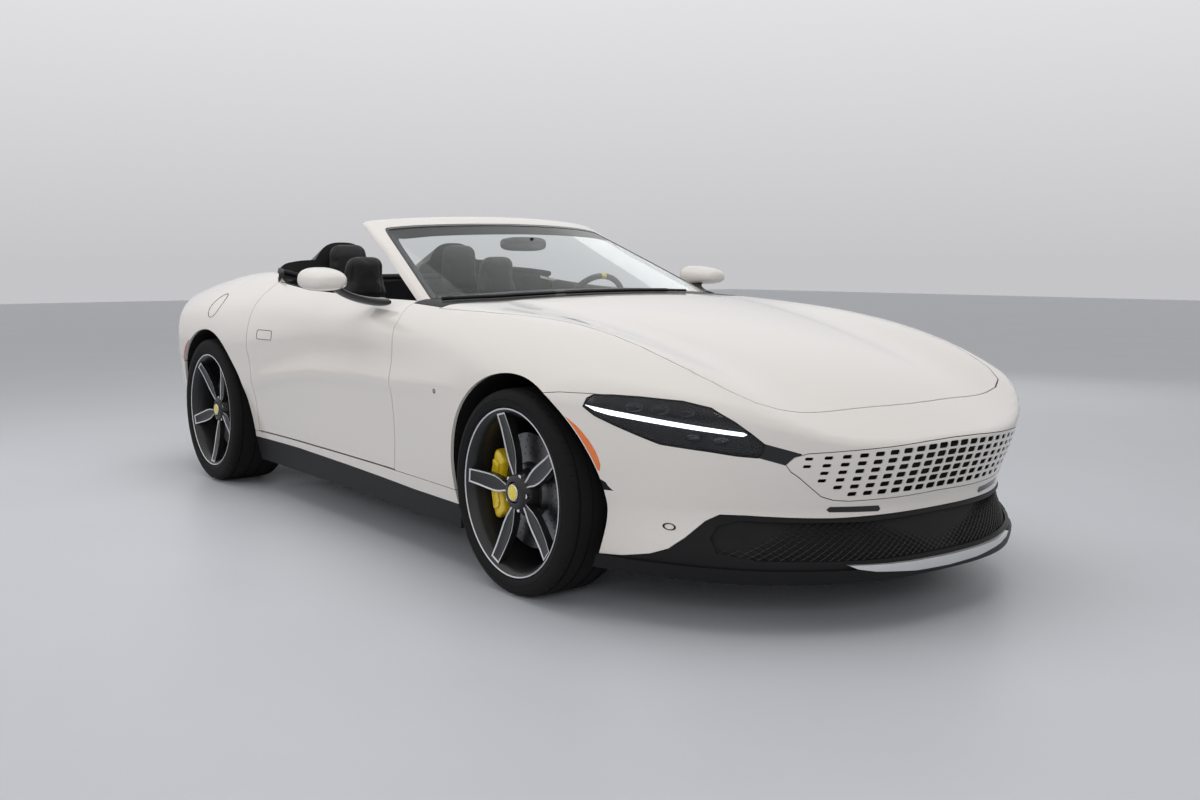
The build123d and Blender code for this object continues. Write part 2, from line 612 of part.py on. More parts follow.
# The tonneau carries two fairings that run back from the rear head restraints.
FAIRING_Y = 326
FAIRING_W = 270
FAIRING_TOP = 1192
with BuildPart() as tonneau:
    add(skin)
    add(tonneau_zone, mode=Mode.INTERSECT)
    front = CABIN_REAR - GAP
    for s in (1, -1):
        with BuildSketch(Plane.YZ.offset(front)):
            with BuildLine():
                ThreePointArc((s * FAIRING_Y - FAIRING_W / 2, 990), (s * FAIRING_Y, FAIRING_TOP),
                              (s * FAIRING_Y + FAIRING_W / 2, 990))
                Line((s * FAIRING_Y + FAIRING_W / 2, 990), (s * FAIRING_Y - FAIRING_W / 2, 990))
            make_face()
        with BuildSketch(Plane.YZ.offset(TONNEAU_REAR + 30)):
            with BuildLine():
                ThreePointArc((s * FAIRING_Y - FAIRING_W / 2 + 30, 955), (s * FAIRING_Y, 972),
                              (s * FAIRING_Y + FAIRING_W / 2 - 30, 955))
                Line((s * FAIRING_Y + FAIRING_W / 2 - 30, 955), (s * FAIRING_Y - FAIRING_W / 2 + 30, 955))
            make_face()
        loft()
    add(lid_lugs(TONNEAU_AXIS, DECK_HINGE_Y, TONNEAU_AXIS[1] + 20))
    add(lid_bores(TONNEAU_AXIS, DECK_HINGE_Y), mode=Mode.SUBTRACT)

# ---------------------------------------------------------------- windscreen
SCREEN_LOW = (900, 853, 505, 779)       # z, x on the centre line, x and y at the corner
SCREEN_HIGH = (1300, -232, -420, 591)
SCREEN_RAKE = 2.6                       # run over rise of the glass
GLASS = 5
FRAME_DEPTH = 24
PILLAR = 34
HEADER = 44
SCREEN_FRONT = [(0, 850), (800, 850), (772, 915), (612, 1258), (450, 1276), (0, 1291)]
SCREEN_DAYLIGHT = [(0, 930), (728, 930), (572, 1226), (430, 1242), (0, 1253)]


def screen_slab(front_set_back, depth):
    """Curved raked slab between two depths behind the outer face of the windscreen."""
    with BuildPart() as slab:
        for z, x, corner_x, corner_y in (SCREEN_LOW, SCREEN_HIGH):
            near = front_set_back * SCREEN_RAKE
            far = (front_set_back + depth) * SCREEN_RAKE
            with BuildSketch(Plane.XY.offset(z)):
                with BuildLine():
                    ThreePointArc((corner_x - near, -corner_y), (x - near, 0), (corner_x - near, corner_y))
                    Line((corner_x - near, corner_y), (corner_x - far, corner_y))
                    ThreePointArc((corner_x - far, corner_y), (x - far, 0), (corner_x - far, -corner_y))
                    Line((corner_x - far, -corner_y), (corner_x - near, -corner_y))
                make_face()
        loft(ruled=True)
    return slab.part


with BuildPart() as windscreen_frame:
    add(screen_slab(0, FRAME_DEPTH))
    add(front_prism(SCREEN_FRONT, -700, 1100), mode=Mode.INTERSECT)
    add(front_prism(SCREEN_DAYLIGHT, -700, 1100), mode=Mode.SUBTRACT)
    add(outer, mode=Mode.SUBTRACT)

with BuildPart() as windscreen:
    add(screen_slab(3, GLASS))
    add(front_prism(SCREEN_DAYLIGHT, -700, 1100, -SEAT_GAP), mode=Mode.INTERSECT)
    add(outer, mode=Mode.SUBTRACT)

# ---------------------------------------------------------------- cabin
DASH_TOP = 925
with BuildPart() as dashboard:
    with BuildSketch(Plane.XZ.offset(SILL_INNER - SEAT_GAP)):
        with BuildLine():
            Polyline((240, 560), (200, 640), (190, 800), (230, 900), (300, DASH_TOP), (400, DASH_TOP - 8),
                     (FOOTWELL_FRONT - 100, 880), (FOOTWELL_FRONT - SEAT_GAP, 700), (FOOTWELL_FRONT - SEAT_GAP, 560),
                     close=True)
        make_face()
    extrude(amount=-2 * (SILL_INNER - SEAT_GAP))
    add(inner, mode=Mode.INTERSECT)

with BuildPart() as console:
    with BuildSketch(Plane.XZ.offset(120)):
        with BuildLine():
            Polyline((-780, TUNNEL[1] + SEAT_GAP), (-780, 560), (-300, 570), (180, 700), (190, TUNNEL[1] + SEAT_GAP),
                     close=True)
        make_face()
    extrude(amount=-240)

with BuildPart() as column:
    # Steering column shroud, from the dashboard to just short of the wheel.
    axis_dir = (-cos(radians(WHEEL_RAKE)), 0, sin(radians(WHEEL_RAKE)))
    shroud_foot = tuple(c - 60 * d for c, d in zip(WHEEL_CENTRE, axis_dir))
    with Locations(Plane(shroud_foot, z_dir=tuple(-d for d in axis_dir))):
        Cylinder(38, 160, align=(Align.CENTER, Align.CENTER, Align.MIN))
    spindle_tip = tuple(c + 6 * d for c, d in zip(WHEEL_CENTRE, axis_dir))
    with Locations(Plane(spindle_tip, z_dir=tuple(-d for d in axis_dir))):
        Cylinder(SPINDLE_R, 76, align=(Align.CENTER, Align.CENTER, Align.MIN))
    add(dashboard.part, mode=Mode.SUBTRACT)

with BuildPart() as steering_wheel:
    wheel_plane = Plane(WHEEL_CENTRE, x_dir=(0, 1, 0), z_dir=axis_dir)
    with BuildSketch(Plane(WHEEL_CENTRE, x_dir=axis_dir, z_dir=(0, 1, 0))):
        with Locations((0, WHEEL_DIA / 2 - 15)):
            Circle(15)
    revolve(axis=Axis(WHEEL_CENTRE, axis_dir), revolution_arc=360)
    with BuildSketch(wheel_plane.offset(-8)):
        Circle(70)
        Rectangle(WHEEL_DIA - 40, 34)
        with Locations((0, -WHEEL_DIA / 4)):
            Rectangle(30, WHEEL_DIA / 2 - 30)
    extrude(amount=24)
    bore_mouth = tuple(c + 6.5 * d for c, d in zip(WHEEL_CENTRE, axis_dir))
    with Locations(Plane(bore_mouth, z_dir=tuple(-d for d in axis_dir))):
        Cylinder(SPINDLE_R + RUNNING_FIT, 40, align=(Align.CENTER, Align.CENTER, Align.MIN), mode=Mode.SUBTRACT)

with BuildPart() as seats:
    for s in (1, -1):
        y = s * SEAT_Y
        with BuildSketch(Plane.XZ.offset(-y + 250)):
            with BuildLine():
                Polyline((-640, 300), (-150, 330), (-120, 430), (-170, 470), (-560, 430), (-640, 600), (-760, 880),
                         (-840, 880), (-800, 600), (-740, 380), (-700, 300), close=True)
            make_face()
        extrude(amount=-500)
        with BuildSketch(Plane.XZ.offset(-y + 130)):
            with BuildLine():
                Polyline((-765, 870), (-750, 1000), (-765, 1105), (-800, 1118), (-850, 1090), (-850, 870), close=True)
            make_face()
        extrude(amount=-260)
        with Locations((-430, y, (CABIN_FLOOR + 305) / 2)):
            Box(400, 380, 305 - CABIN_FLOOR + 2 * 4)
        split_low = CABIN_FLOOR + SEAT_GAP
    add(block(-900, 0, -SIDE, SIDE, 0, split_low), mode=Mode.SUBTRACT)

REAR_SEAT_BACK = CABIN_REAR + 20 + SEAT_GAP
with BuildPart() as rear_seat:
    with BuildSketch(Plane.XZ.offset(640)):
        with BuildLine():
            Polyline((-870, TUNNEL[1] + SEAT_GAP), (-870, 520), (-1010, 500), (-1060, 900), (REAR_SEAT_BACK, 940),
                     (REAR_SEAT_BACK, TUNNEL[1] + SEAT_GAP), close=True)
        make_face()
    extrude(amount=-1280)
    for s in (1, -1):
        with Locations((REAR_SEAT_BACK + 38, s * FAIRING_Y, 1000)):
            Box(75, 220, 350)

with BuildPart() as mirror_housing:
    with BuildSketch(Plane.YZ.offset(35)):
        with Locations((1000, 1018)):
            RectangleRounded(186, 92, 40)
    with BuildSketch(Plane.YZ.offset(110)):
        with Locations((1005, 1015)):
            RectangleRounded(170, 84, 36)
    with BuildSketch(Plane.YZ.offset(165)):
        with Locations((1010, 1010)):
            RectangleRounded(90, 46, 20)
    loft()

with BuildPart() as mirror_arm:
    with BuildSketch(Plane.XZ.offset(-955)):
        with Locations((100, 985)):
            Rectangle(90, 30)
    with BuildSketch(Plane.XZ.offset(-835)):
        with Locations((270, 918)):
            Rectangle(170, 36)
    loft()
    add(outer, mode=Mode.SUBTRACT)
    add(mirror_housing.part, mode=Mode.SUBTRACT)

# ---------------------------------------------------------------- running gear
# Wheel pieces are drawn about the hub: Y outward from the wheel's centre plane.
DISC_R = 190
DISC_PLANE = (-2, 30)
HUB_FACE = 45
SPOKE_FACE = (80, 106)
ARM_BAR_R = 13
SPOKE_PAIRS = 5
CALIPER_R = (128, 216)
CALIPER_FOOT = 122.8                    # reach of the carrier's bracket to the caliper's inner edge
EYE_LENGTH = 30


def ring(outline, y_sign):
    """Revolve an (offset, radius) outline about the wheel's axle."""
    with BuildPart() as turned:
        with BuildSketch(Plane.XY):
            with BuildLine():
                Polyline(*[(r, y_sign * y) for y, r in outline], close=True)
            make_face()
        revolve(axis=Axis.Y)
    return turned.part


def tyre(radius, width, y_sign):
    half = width / 2
    outline = [(-half + 21, RIM_R + SEAT_GAP), (-half + 21, RIM_R + 22), (-half, RIM_R + 44), (-half + 3, radius - 24),
               (-half + 14, radius - 8), (-half + 34, radius - 1), (0, radius), (half - 34, radius - 1),
               (half - 14, radius - 8), (half - 3, radius - 24), (half, RIM_R + 44), (half - 21, RIM_R + 22),
               (half - 21, RIM_R + SEAT_GAP)]
    return ring(outline, y_sign)


def rim(width, y_sign):
    half = width / 2
    inside = RIM_R - BARREL_WALL
    barrel = [(-half + 8, FLANGE_R), (-half + 20, FLANGE_R), (-half + 20, RIM_R), (half - 20, RIM_R),
              (half - 20, FLANGE_R), (half - 8, FLANGE_R), (half - 8, inside), (-half + 8, inside)]
    with BuildPart() as wheel:
        add(ring(barrel, y_sign))
        add(ring([(HUB_FACE, STUB_R + RUNNING_FIT), (HUB_FACE, 75), (SPOKE_FACE[1], 62),
                  (SPOKE_FACE[1], STUB_R + RUNNING_FIT)], y_sign))
        with BuildSketch(Plane.XZ.offset(-y_sign * SPOKE_FACE[0])):
            with PolarLocations(0, SPOKE_PAIRS, start_angle=90):
                for s in (1, -1):
                    Polygon((50, s * 4), (50, s * 28), (inside - 2, s * 66), (inside + 4, s * 36), align=None)
        extrude(amount=-y_sign * (SPOKE_FACE[1] - SPOKE_FACE[0]))
        add(ring([(SPOKE_FACE[1] - 6, STUB_R + RUNNING_FIT + 3), (SPOKE_FACE[1] + 2, STUB_R + 3), (SPOKE_FACE[1] + 2, 1),
                  (SPOKE_FACE[1] - 6, 1)], y_sign))
    return wheel.part


def brake_disc(y_sign):
    low, high = DISC_PLANE
    return ring([(low, 110), (low, DISC_R), (high, DISC_R), (high, 92), (HUB_FACE, 88), (HUB_FACE, STUB_R + 6),
                 (HUB_FACE - 8, STUB_R + 6), (HUB_FACE - 8, 80), (high - 20, 84), (high - 20, 110)], y_sign)


def caliper(y_sign, x_sign):
    """Body of the brake caliper, astride the disc on the side x_sign."""
    inner_r, outer_r = CALIPER_R
    centre = 90 - 90 * x_sign
    with BuildPart() as body:
        with BuildSketch(Plane.XZ.offset(y_sign * 38)):
            with BuildLine():
                CenterArc((0, 0), outer_r, centre - 34, 68)
                CenterArc((0, 0), inner_r, centre - 30, 60)
                for turn in (1, -1):
                    Line((outer_r * cos(radians(centre + 34 * turn)), outer_r * sin(radians(centre + 34 * turn))),
                         (inner_r * cos(radians(centre + 30 * turn)), inner_r * sin(radians(centre + 30 * turn))))
            make_face()
        extrude(amount=-y_sign * 106)
        add(ring([(DISC_PLANE[0] - 6, 20), (DISC_PLANE[0] - 6, DISC_R + 6), (DISC_PLANE[1] + 6, DISC_R + 6),
                  (DISC_PLANE[1] + 6, 20)], y_sign), mode=Mode.SUBTRACT)
    return body.part


def upright(y_sign, x_sign, pins):
    """Hub carrier: stub axle, post, caliper bracket and, when steered, its two pins."""
    post_y = KINGPIN_Y - FRONT_TRACK / 2
    with BuildPart() as carrier:
        with Locations((0, y_sign * post_y, 0)):
            Box(60, 36, UPPER_BALL_Z - LOWER_BALL_Z - EYE_LENGTH - 2 * (2 if pins else SEAT_GAP))
        with Locations(Plane((0, y_sign * (post_y + 50), 0), z_dir=(0, 1, 0))):
            Cylinder(STUB_R, 150)
        with Locations((x_sign * (30 + CALIPER_FOOT) / 2, y_sign * post_y, 0)):
            Box(CALIPER_FOOT - 30, 22, 70)
        if pins:
            pin_length = UPPER_BALL_Z - LOWER_BALL_Z + 44
            with Locations((0, y_sign * post_y, 0)):
                Cylinder(KINGPIN_R, pin_length)
    return carrier.part


def placed(part, axle_x, wheel_y, wheel_z):
    return Pos(axle_x, wheel_y, wheel_z) * part

# ---------------------------------------------------------------- wheels, brakes and uprights in place
CORNERS = [
    # name, x, |y|, tyre radius, tyre width, left is +1
    ("front_left", FRONT_AXLE, FRONT_TRACK / 2, FRONT_TYRE_R, FRONT_TYRE_W, 1),
    ("front_right", FRONT_AXLE, FRONT_TRACK / 2, FRONT_TYRE_R, FRONT_TYRE_W, -1),
    ("rear_left", REAR_AXLE, REAR_TRACK / 2, REAR_TYRE_R, REAR_TYRE_W, 1),
    ("rear_right", REAR_AXLE, REAR_TRACK / 2, REAR_TYRE_R, REAR_TYRE_W, -1),
]
rear_calipers = []
rear_uprights = []
for name, axle_x, wheel_y, radius, width, s in CORNERS:
    steered = axle_x == FRONT_AXLE
    place = (axle_x, s * wheel_y, radius)
    save(placed(tyre(radius, width, s), *place), f"tyre_{name}")
    save(placed(rim(width, s), *place), f"rim_{name}")
    save(placed(brake_disc(s), *place), f"disc_{name}")
    calliper = placed(caliper(s, -1 if steered else 1), *place)
    carrier = placed(upright(s, -1 if steered else 1, steered), *place)
    if steered:
        side = name.split("_")[1]
        save(calliper, f"caliper_{side}")
        save(carrier, f"knuckle_{side}")
    else:
        rear_calipers.append(calliper)
        rear_uprights.append(carrier)

with BuildPart() as rear_brakes:
    for piece in rear_calipers:
        add(piece)

# Wishbones run from bushes on the wells' inner walls to the uprights.
BUSH_SPREAD = 105
EYE_R = 22


def wishbone(axle_x, ball_y, ball_z, s, bored):
    foot_y = WELL_INNER + SEAT_GAP
    with BuildPart() as arm:
        for side in (1, -1):
            with BuildSketch(Plane.XY.offset(ball_z - ARM_BAR_R)):
                with BuildLine():
                    Polyline((axle_x - 12, s * ball_y), (axle_x + 12, s * ball_y),
                             (axle_x + side * BUSH_SPREAD + 16, s * foot_y),
                             (axle_x + side * BUSH_SPREAD - 16, s * foot_y), close=True)
                make_face()
            extrude(amount=2 * ARM_BAR_R)
        with Locations((axle_x, s * ball_y, ball_z)):
            Cylinder(EYE_R, EYE_LENGTH)
        if bored:
            with Locations((axle_x, s * ball_y, ball_z)):
                Cylinder(KINGPIN_R + RUNNING_FIT, 60, mode=Mode.SUBTRACT)
    return arm.part


with BuildPart() as front_wishbones:
    for s in (1, -1):
        for z in (LOWER_BALL_Z, UPPER_BALL_Z):
            add(wishbone(FRONT_AXLE, KINGPIN_Y, z, s, True))

REAR_BALL_Y = REAR_TRACK / 2 - (FRONT_TRACK / 2 - KINGPIN_Y)
with BuildPart() as rear_suspension:
    for carrier in rear_uprights:
        add(carrier)
    for s in (1, -1):
        for z in (LOWER_BALL_Z + 14, UPPER_BALL_Z + 14):
            add(wishbone(REAR_AXLE, REAR_BALL_Y, z, s, False))

ENGINE = (760, 650, 560)                # length, width, height of the plain block
ENGINE_AT = (1150, 0, BAY_FLOOR + SEAT_GAP + ENGINE[2] / 2)
with BuildPart() as engine:
    with Locations(ENGINE_AT):
        Box(*ENGINE)

RADIATOR = (50, 740, 165)
RADIATOR_SET_BACK = 192                 # its middle behind the nose
with BuildPart() as radiator:
    with Locations((NOSE - RADIATOR_SET_BACK, 0, NOSE_BAY_FLOOR + SEAT_GAP + RADIATOR[2] / 2)):
        Box(*RADIATOR)

with BuildPart() as tailpipes:
    for y in TAILPIPE_Y:
        with Locations(Plane((TAIL + TAILPIPE_TIP, y, TAILPIPE_Z), z_dir=(1, 0, 0))):
            Cylinder(TAILPIPE_R, TAILPIPE_LENGTH, align=(Align.CENTER, Align.CENTER, Align.MIN))
            Cylinder(TAILPIPE_R - 5, TAILPIPE_LENGTH / 2, align=(Align.CENTER, Align.CENTER, Align.MIN), mode=Mode.SUBTRACT)

with BuildPart() as interior_mirror:
    with Locations((10, 0, 1160)):
        Box(30, 230, 62)
    fillet(interior_mirror.edges().filter_by(Axis.X), 24)
    with BuildSketch(Plane.XZ.offset(-12)):
        with BuildLine():
            Polyline((20, 1146), (20, 1172), (61, 1184), (72, 1180), close=True)
        make_face()
    extrude(amount=-24)

# ---------------------------------------------------------------- output
lid_hinges = (lid_brackets(BONNET_AXIS, BONNET_HINGE_Y, NOSE_BAY_FLOOR + SEAT_GAP, BONNET_AXIS[0] - 12)
              + lid_brackets(BOOT_AXIS, DECK_HINGE_Y, LID_WELL_FLOOR + SEAT_GAP, BOOT_AXIS[0])
              + lid_brackets(TONNEAU_AXIS, DECK_HINGE_Y, LID_WELL_FLOOR + SEAT_GAP, TONNEAU_AXIS[0]))
pieces = {
    "body_shell": body_shell.part, "front_fenders": fenders.part, "front_bumper": front_bumper.part,
    "grille": grille.part, "lower_grille": lower_grille.part + lamp_surrounds.part, "headlamps": headlamps.part,
    "splitter": splitter.part, "cowl": cowl.part, "side_skirts": side_skirts.part,
    "rear_quarters": rear_quarters.part, "rear_bumper": rear_bumper.part, "tail_lamps": tail_lamps.part,
    "diffuser": diffuser.part, "bonnet": bonnet.part, "boot_lid": boot_lid.part, "tonneau": tonneau.part,
    "windscreen_frame": windscreen_frame.part, "windscreen": windscreen.part,
    "dashboard": dashboard.part + column.part, "console": console.part, "steering_wheel": steering_wheel.part,
    "seats": seats.part, "rear_seat": rear_seat.part, "suspension": front_wishbones.part + rear_suspension.part,
    "rear_calipers": rear_brakes.part, "engine": engine.part, "radiator": radiator.part,
    "tailpipes": tailpipes.part, "interior_mirror": interior_mirror.part, "lid_hinges": lid_hinges,
    "door_left": door_left.part, "door_right": mirror(door_left.part, about=Plane.XZ),
    "mirror_left": mirror_housing.part + mirror_arm.part,
    "mirror_right": mirror(mirror_housing.part + mirror_arm.part, about=Plane.XZ),
}
for name, piece in pieces.items():
    save(piece, name)
    print(name, len(piece.solids()), round(piece.volume / 1e6, 2), piece.is_valid)
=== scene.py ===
"""Open two-plus-two roadster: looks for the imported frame."""
import math

import bmesh
import bpy
import numpy as np
from mathutils import Matrix, Vector
from mathutils.bvhtree import BVHTree


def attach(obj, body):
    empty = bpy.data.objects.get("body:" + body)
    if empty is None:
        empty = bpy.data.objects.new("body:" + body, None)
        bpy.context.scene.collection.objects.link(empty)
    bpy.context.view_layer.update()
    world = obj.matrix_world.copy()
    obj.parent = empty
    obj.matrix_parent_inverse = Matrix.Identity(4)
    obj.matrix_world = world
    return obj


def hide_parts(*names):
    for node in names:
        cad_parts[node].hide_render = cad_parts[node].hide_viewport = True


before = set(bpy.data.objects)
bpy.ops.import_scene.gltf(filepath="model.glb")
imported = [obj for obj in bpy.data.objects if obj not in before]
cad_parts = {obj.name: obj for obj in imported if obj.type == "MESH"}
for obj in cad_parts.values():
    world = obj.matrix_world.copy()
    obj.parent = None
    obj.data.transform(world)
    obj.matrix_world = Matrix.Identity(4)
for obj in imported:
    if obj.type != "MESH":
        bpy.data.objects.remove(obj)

bl_info = {
    "name": "Roadster dresser",
    "version": (1, 0, 0),
    "blender": (4, 5, 0),
    "location": "3D View > Sidebar > Roadster",
    "description": "Dresses the frame of an open roadster with panels, wheels, cabin and finishes",
    "category": "Object",
}

# ------------------------------------------------------------------ body form
# Metres in the frame of the part.  One row per station along the car.
STATIONS = np.array([
    # x, centre height, crown, crest height, crest y, half widths at the heights below
    (-2.417, 0.850, 0.030, 0.000, 0.78, 0.80, 0.84, 0.86, 0.80, 0.66),
    (-2.117, 0.905, 0.030, 0.030, 0.78, 0.85, 0.90, 0.935, 0.865, 0.70),
    (-1.717, 0.965, 0.025, 0.060, 0.76, 0.87, 0.945, 0.980, 0.915, 0.72),
    (-1.352, 1.000, 0.020, 0.075, 0.74, 0.87, 0.955, 0.985, 0.925, 0.74),
    (-0.817, 1.005, 0.020, 0.040, 0.76, 0.865, 0.910, 0.955, 0.905, 0.78),
    (-0.217, 0.990, 0.020, 0.010, 0.78, 0.870, 0.895, 0.925, 0.895, 0.80),
    (0.433, 0.975, 0.025, 0.005, 0.78, 0.880, 0.905, 0.925, 0.880, 0.76),
    (0.883, 0.945, 0.030, 0.020, 0.76, 0.890, 0.930, 0.940, 0.870, 0.74),
    (1.318, 0.885, 0.040, 0.055, 0.73, 0.885, 0.945, 0.945, 0.870, 0.72),
    (1.733, 0.795, 0.050, 0.075, 0.70, 0.86, 0.905, 0.915, 0.84, 0.70),
    (2.033, 0.700, 0.060, 0.065, 0.66, 0.82, 0.87, 0.875, 0.81, 0.66),
    (2.328, 0.560, 0.070, 0.030, 0.60, 0.78, 0.82, 0.82, 0.76, 0.60),
])
SIDE_HEIGHTS = np.array([0.15, 0.42, 0.70, 0.88, 1.05])
NOSE_PROFILE = np.array([(0.10, 2.283), (0.20, 2.313), (0.35, 2.263), (0.39, 2.275), (0.54, 2.328),
                         (0.62, 2.343), (1.2, 2.383)])
TAIL_PROFILE = np.array([(0.10, -2.13), (0.20, -2.19), (0.34, -2.285), (0.50, -2.322), (0.66, -2.326),
                         (0.86, -2.322), (1.2, -2.32)])
EDGE_RADIUS = np.array([(-2.32, 0.05), (-1.32, 0.13), (0.0, 0.10), (1.28, 0.10), (1.98, 0.05), (2.28, 0.02)])


def spline_slopes(x, y):
    """Second derivatives of a natural cubic spline through the rows of y."""
    n = len(x)
    a = np.zeros((n, n))
    b = np.zeros_like(y)
    a[0, 0] = a[-1, -1] = 1
    h = np.diff(x)
    for i in range(1, n - 1):
        a[i, i - 1:i + 2] = h[i - 1], 2 * (h[i - 1] + h[i]), h[i]
        b[i] = 6 * ((y[i + 1] - y[i]) / h[i] - (y[i] - y[i - 1]) / h[i - 1])
    return np.linalg.solve(a, b)


STATION_M = spline_slopes(STATIONS[:, 0], STATIONS[:, 1:])


def station(x, columns):
    """Values of the station table's columns at x."""
    xs = STATIONS[:, 0]
    k = np.clip(np.searchsorted(xs, x) - 1, 0, len(xs) - 2)
    h = xs[k + 1] - xs[k]
    a = (xs[k + 1] - x) / h
    b = 1 - a
    out = []
    for c in columns:
        y, m = STATIONS[:, c], STATION_M[:, c - 1]
        out.append(a * y[k] + b * y[k + 1] + ((a ** 3 - a) * m[k] + (b ** 3 - b) * m[k + 1]) * h * h / 6)
    return out


def hermite(t, p0, p1, m0, m1):
    return ((2 * t ** 3 - 3 * t ** 2 + 1) * p0 + (t ** 3 - 2 * t ** 2 + t) * m0
            + (3 * t ** 2 - 2 * t ** 3) * p1 + (t ** 3 - t ** 2) * m1)


def profile(table, z):
    """Smooth monotone curve through a two-column table."""
    x, y = table[:, 0], table[:, 1]
    z = np.clip(z, x[0], x[-1])
    s = np.diff(y) / np.diff(x)
    both = s[1:] * s[:-1]
    m = np.concatenate([[s[0]], np.where(both > 0, 2 * s[1:] * s[:-1] / (s[1:] + s[:-1] + 1e-12), 0),
                        [s[-1]]])
    k = np.clip(np.searchsorted(x, z) - 1, 0, len(x) - 2)
    h = x[k + 1] - x[k]
    return hermite((z - x[k]) / h, y[k], y[k + 1], m[k] * h, m[k + 1] * h)


def bell(v, centre, width):
    return np.exp(-((v - centre) / width) ** 2)


def top_height(x, y):
    centre, crown, crest, crest_y = station(x, (1, 2, 3, 4))
    a = np.abs(y)
    z = centre - crown * (a / 0.6) ** 2.2 + crest * bell(a, crest_y, 0.17)
    # Two raised lines on the bonnet run forward from the screen's corners.
    ridge_y = np.interp(x, [0.7, 1.4, 2.1], [0.52, 0.40, 0.28])
    fade = np.interp(x, [0.6, 0.9, 1.8, 2.15], [0, 1, 0.8, 0])
    z += 0.006 * fade * (1 / (1 + np.exp(-(ridge_y - a) / 0.018)))
    return z


def top_at(x, y):
    return float(top_height(np.array(x), np.array(y)))


def side_width(x, z):
    w = station(x, (5, 6, 7, 8, 9))
    z = np.clip(z, SIDE_HEIGHTS[0], SIDE_HEIGHTS[-1] + 0.1)
    heights = np.concatenate([[-0.12], SIDE_HEIGHTS, [1.22]])
    rows = [2 * w[0] - w[1], *w, 2 * w[4] - w[3]]
    result = np.zeros_like(z)
    for k in range(4):
        z0, z1 = SIDE_HEIGHTS[k], SIDE_HEIGHTS[k + 1]
        here = (z >= z0) & ((z < z1) | (k == 3))
        t = (z - z0) / (z1 - z0)
        m0 = (rows[k + 2] - rows[k]) / (heights[k + 2] - heights[k]) * (z1 - z0)
        m1 = (rows[k + 3] - rows[k + 1]) / (heights[k + 3] - heights[k + 1]) * (z1 - z0)
        result = np.where(here, hermite(t, rows[k + 1], rows[k + 2], m0, m1), result)
    # Crease along the doors and the hollow above it.
    line = np.interp(x, [-1.04, -0.66, -0.25, 0.13, 0.57, 1.0], [0.512, 0.588, 0.641, 0.653, 0.659, 0.678])
    fade = np.interp(x, [-1.05, -0.75, -0.3, 0.4, 0.9, 1.05], [0, 1, 1, 0.9, 0.5, 0])
    above = z - line
    result += fade * (0.010 * bell(above, -0.02, 0.035) - 0.010 * bell(above, 0.075, 0.06))
    return result


def smooth_max(a, b, r):
    return np.minimum(-r, np.maximum(a, b)) + np.hypot(np.maximum(a + r, 0), np.maximum(b + r, 0))


def form(p):
    """Negative inside the body, zero on its skin."""
    x, y, z = p[..., 0], p[..., 1], p[..., 2]
    a = np.abs(y)
    f = smooth_max(a - side_width(x, z), x - profile(NOSE_PROFILE, z) + 0.36 * (a / 0.75) ** 2.6, 0.22)
    f = smooth_max(f, profile(TAIL_PROFILE, z) + 0.28 * (a / 0.85) ** 3 - x, 0.15)
    return smooth_max(f, z - top_height(x, y), np.interp(x, EDGE_RADIUS[:, 0], EDGE_RADIUS[:, 1]))


def skin_normal(p):
    e = 2e-4
    g = np.stack([form(p + d) - form(p - d) for d in np.eye(3) * e], -1)
    return g / np.maximum(np.linalg.norm(g, axis=-1, keepdims=True), 1e-9)


def reach(origin, direction, far=2.2, depth=0.0):
    """Points where rays from inside the body meet the skin."""
    low = np.zeros(direction.shape[:-1])
    high = np.full_like(low, far)
    for _ in range(26):
        mid = (low + high) / 2
        inside = form(origin + direction * mid[..., None]) < -depth
        low, high = np.where(inside, mid, low), np.where(inside, high, mid)
    return origin + direction * ((low + high) / 2)[..., None]


# ------------------------------------------------------------------ mesh helpers
MATERIALS = {}                           # every finish by its short name


def finish_mesh(name, bm, body, material, smooth=None, replaces=()):
    """Turn a bmesh into a piece that rides on a body."""
    return dress(make_piece(name, bm), body, material, smooth, replaces)


def face_outwards(bm):
    bmesh.ops.recalc_face_normals(bm, faces=bm.faces)


def turn(bm, verts, angle, axis):
    """Rotate some vertices about an axis through the origin."""
    bmesh.ops.rotate(bm, verts=verts, cent=(0, 0, 0), matrix=Matrix.Rotation(angle, 3, axis))


def make_piece(name, bm):
    mesh = bpy.data.meshes.new(name)
    bm.to_mesh(mesh)
    bm.free()
    piece = bpy.data.objects.new(name, mesh)
    bpy.context.scene.collection.objects.link(piece)
    return piece


def dress(piece, body, material, smooth=None, replaces=()):
    """Give a piece its finishes, by name, its body, and what it stands for in the CAD."""
    mesh = piece.data
    for key in [material] if isinstance(material, str) else material:
        mesh.materials.append(MATERIALS[key])
    if smooth is not None:
        mesh.shade_smooth()
        mesh.set_sharp_from_angle(angle=math.radians(smooth))
    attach(piece, body)
    if replaces:
        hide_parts(*replaces)
    return piece


def grow_outline(points, amount):
    """Offset a closed outline outwards by amount, with mitred corners."""
    p = np.array(points, float)
    area = np.sum(p[:, 0] * np.roll(p[:, 1], -1) - np.roll(p[:, 0], -1) * p[:, 1])
    d = np.roll(p, -1, 0) - p
    d /= np.linalg.norm(d, axis=1, keepdims=True)
    n = np.stack([d[:, 1], -d[:, 0]], 1) * (1 if area > 0 else -1)
    before = np.roll(n, 1, 0)
    m = n + before
    m *= 2 / np.maximum((m * m).sum(1, keepdims=True), 0.5)
    return [tuple(q) for q in p + m * amount]


def faces_of(verts):
    return list({f for v in verts for f in v.link_faces})


def mark_faces(faces, index):
    """Give faces the piece's material of that number."""
    for f in faces:
        f.material_index = index


def add_wall(piece, thickness, offset):
    wall = piece.modifiers.new("wall", "SOLIDIFY")
    wall.thickness, wall.offset = thickness, offset


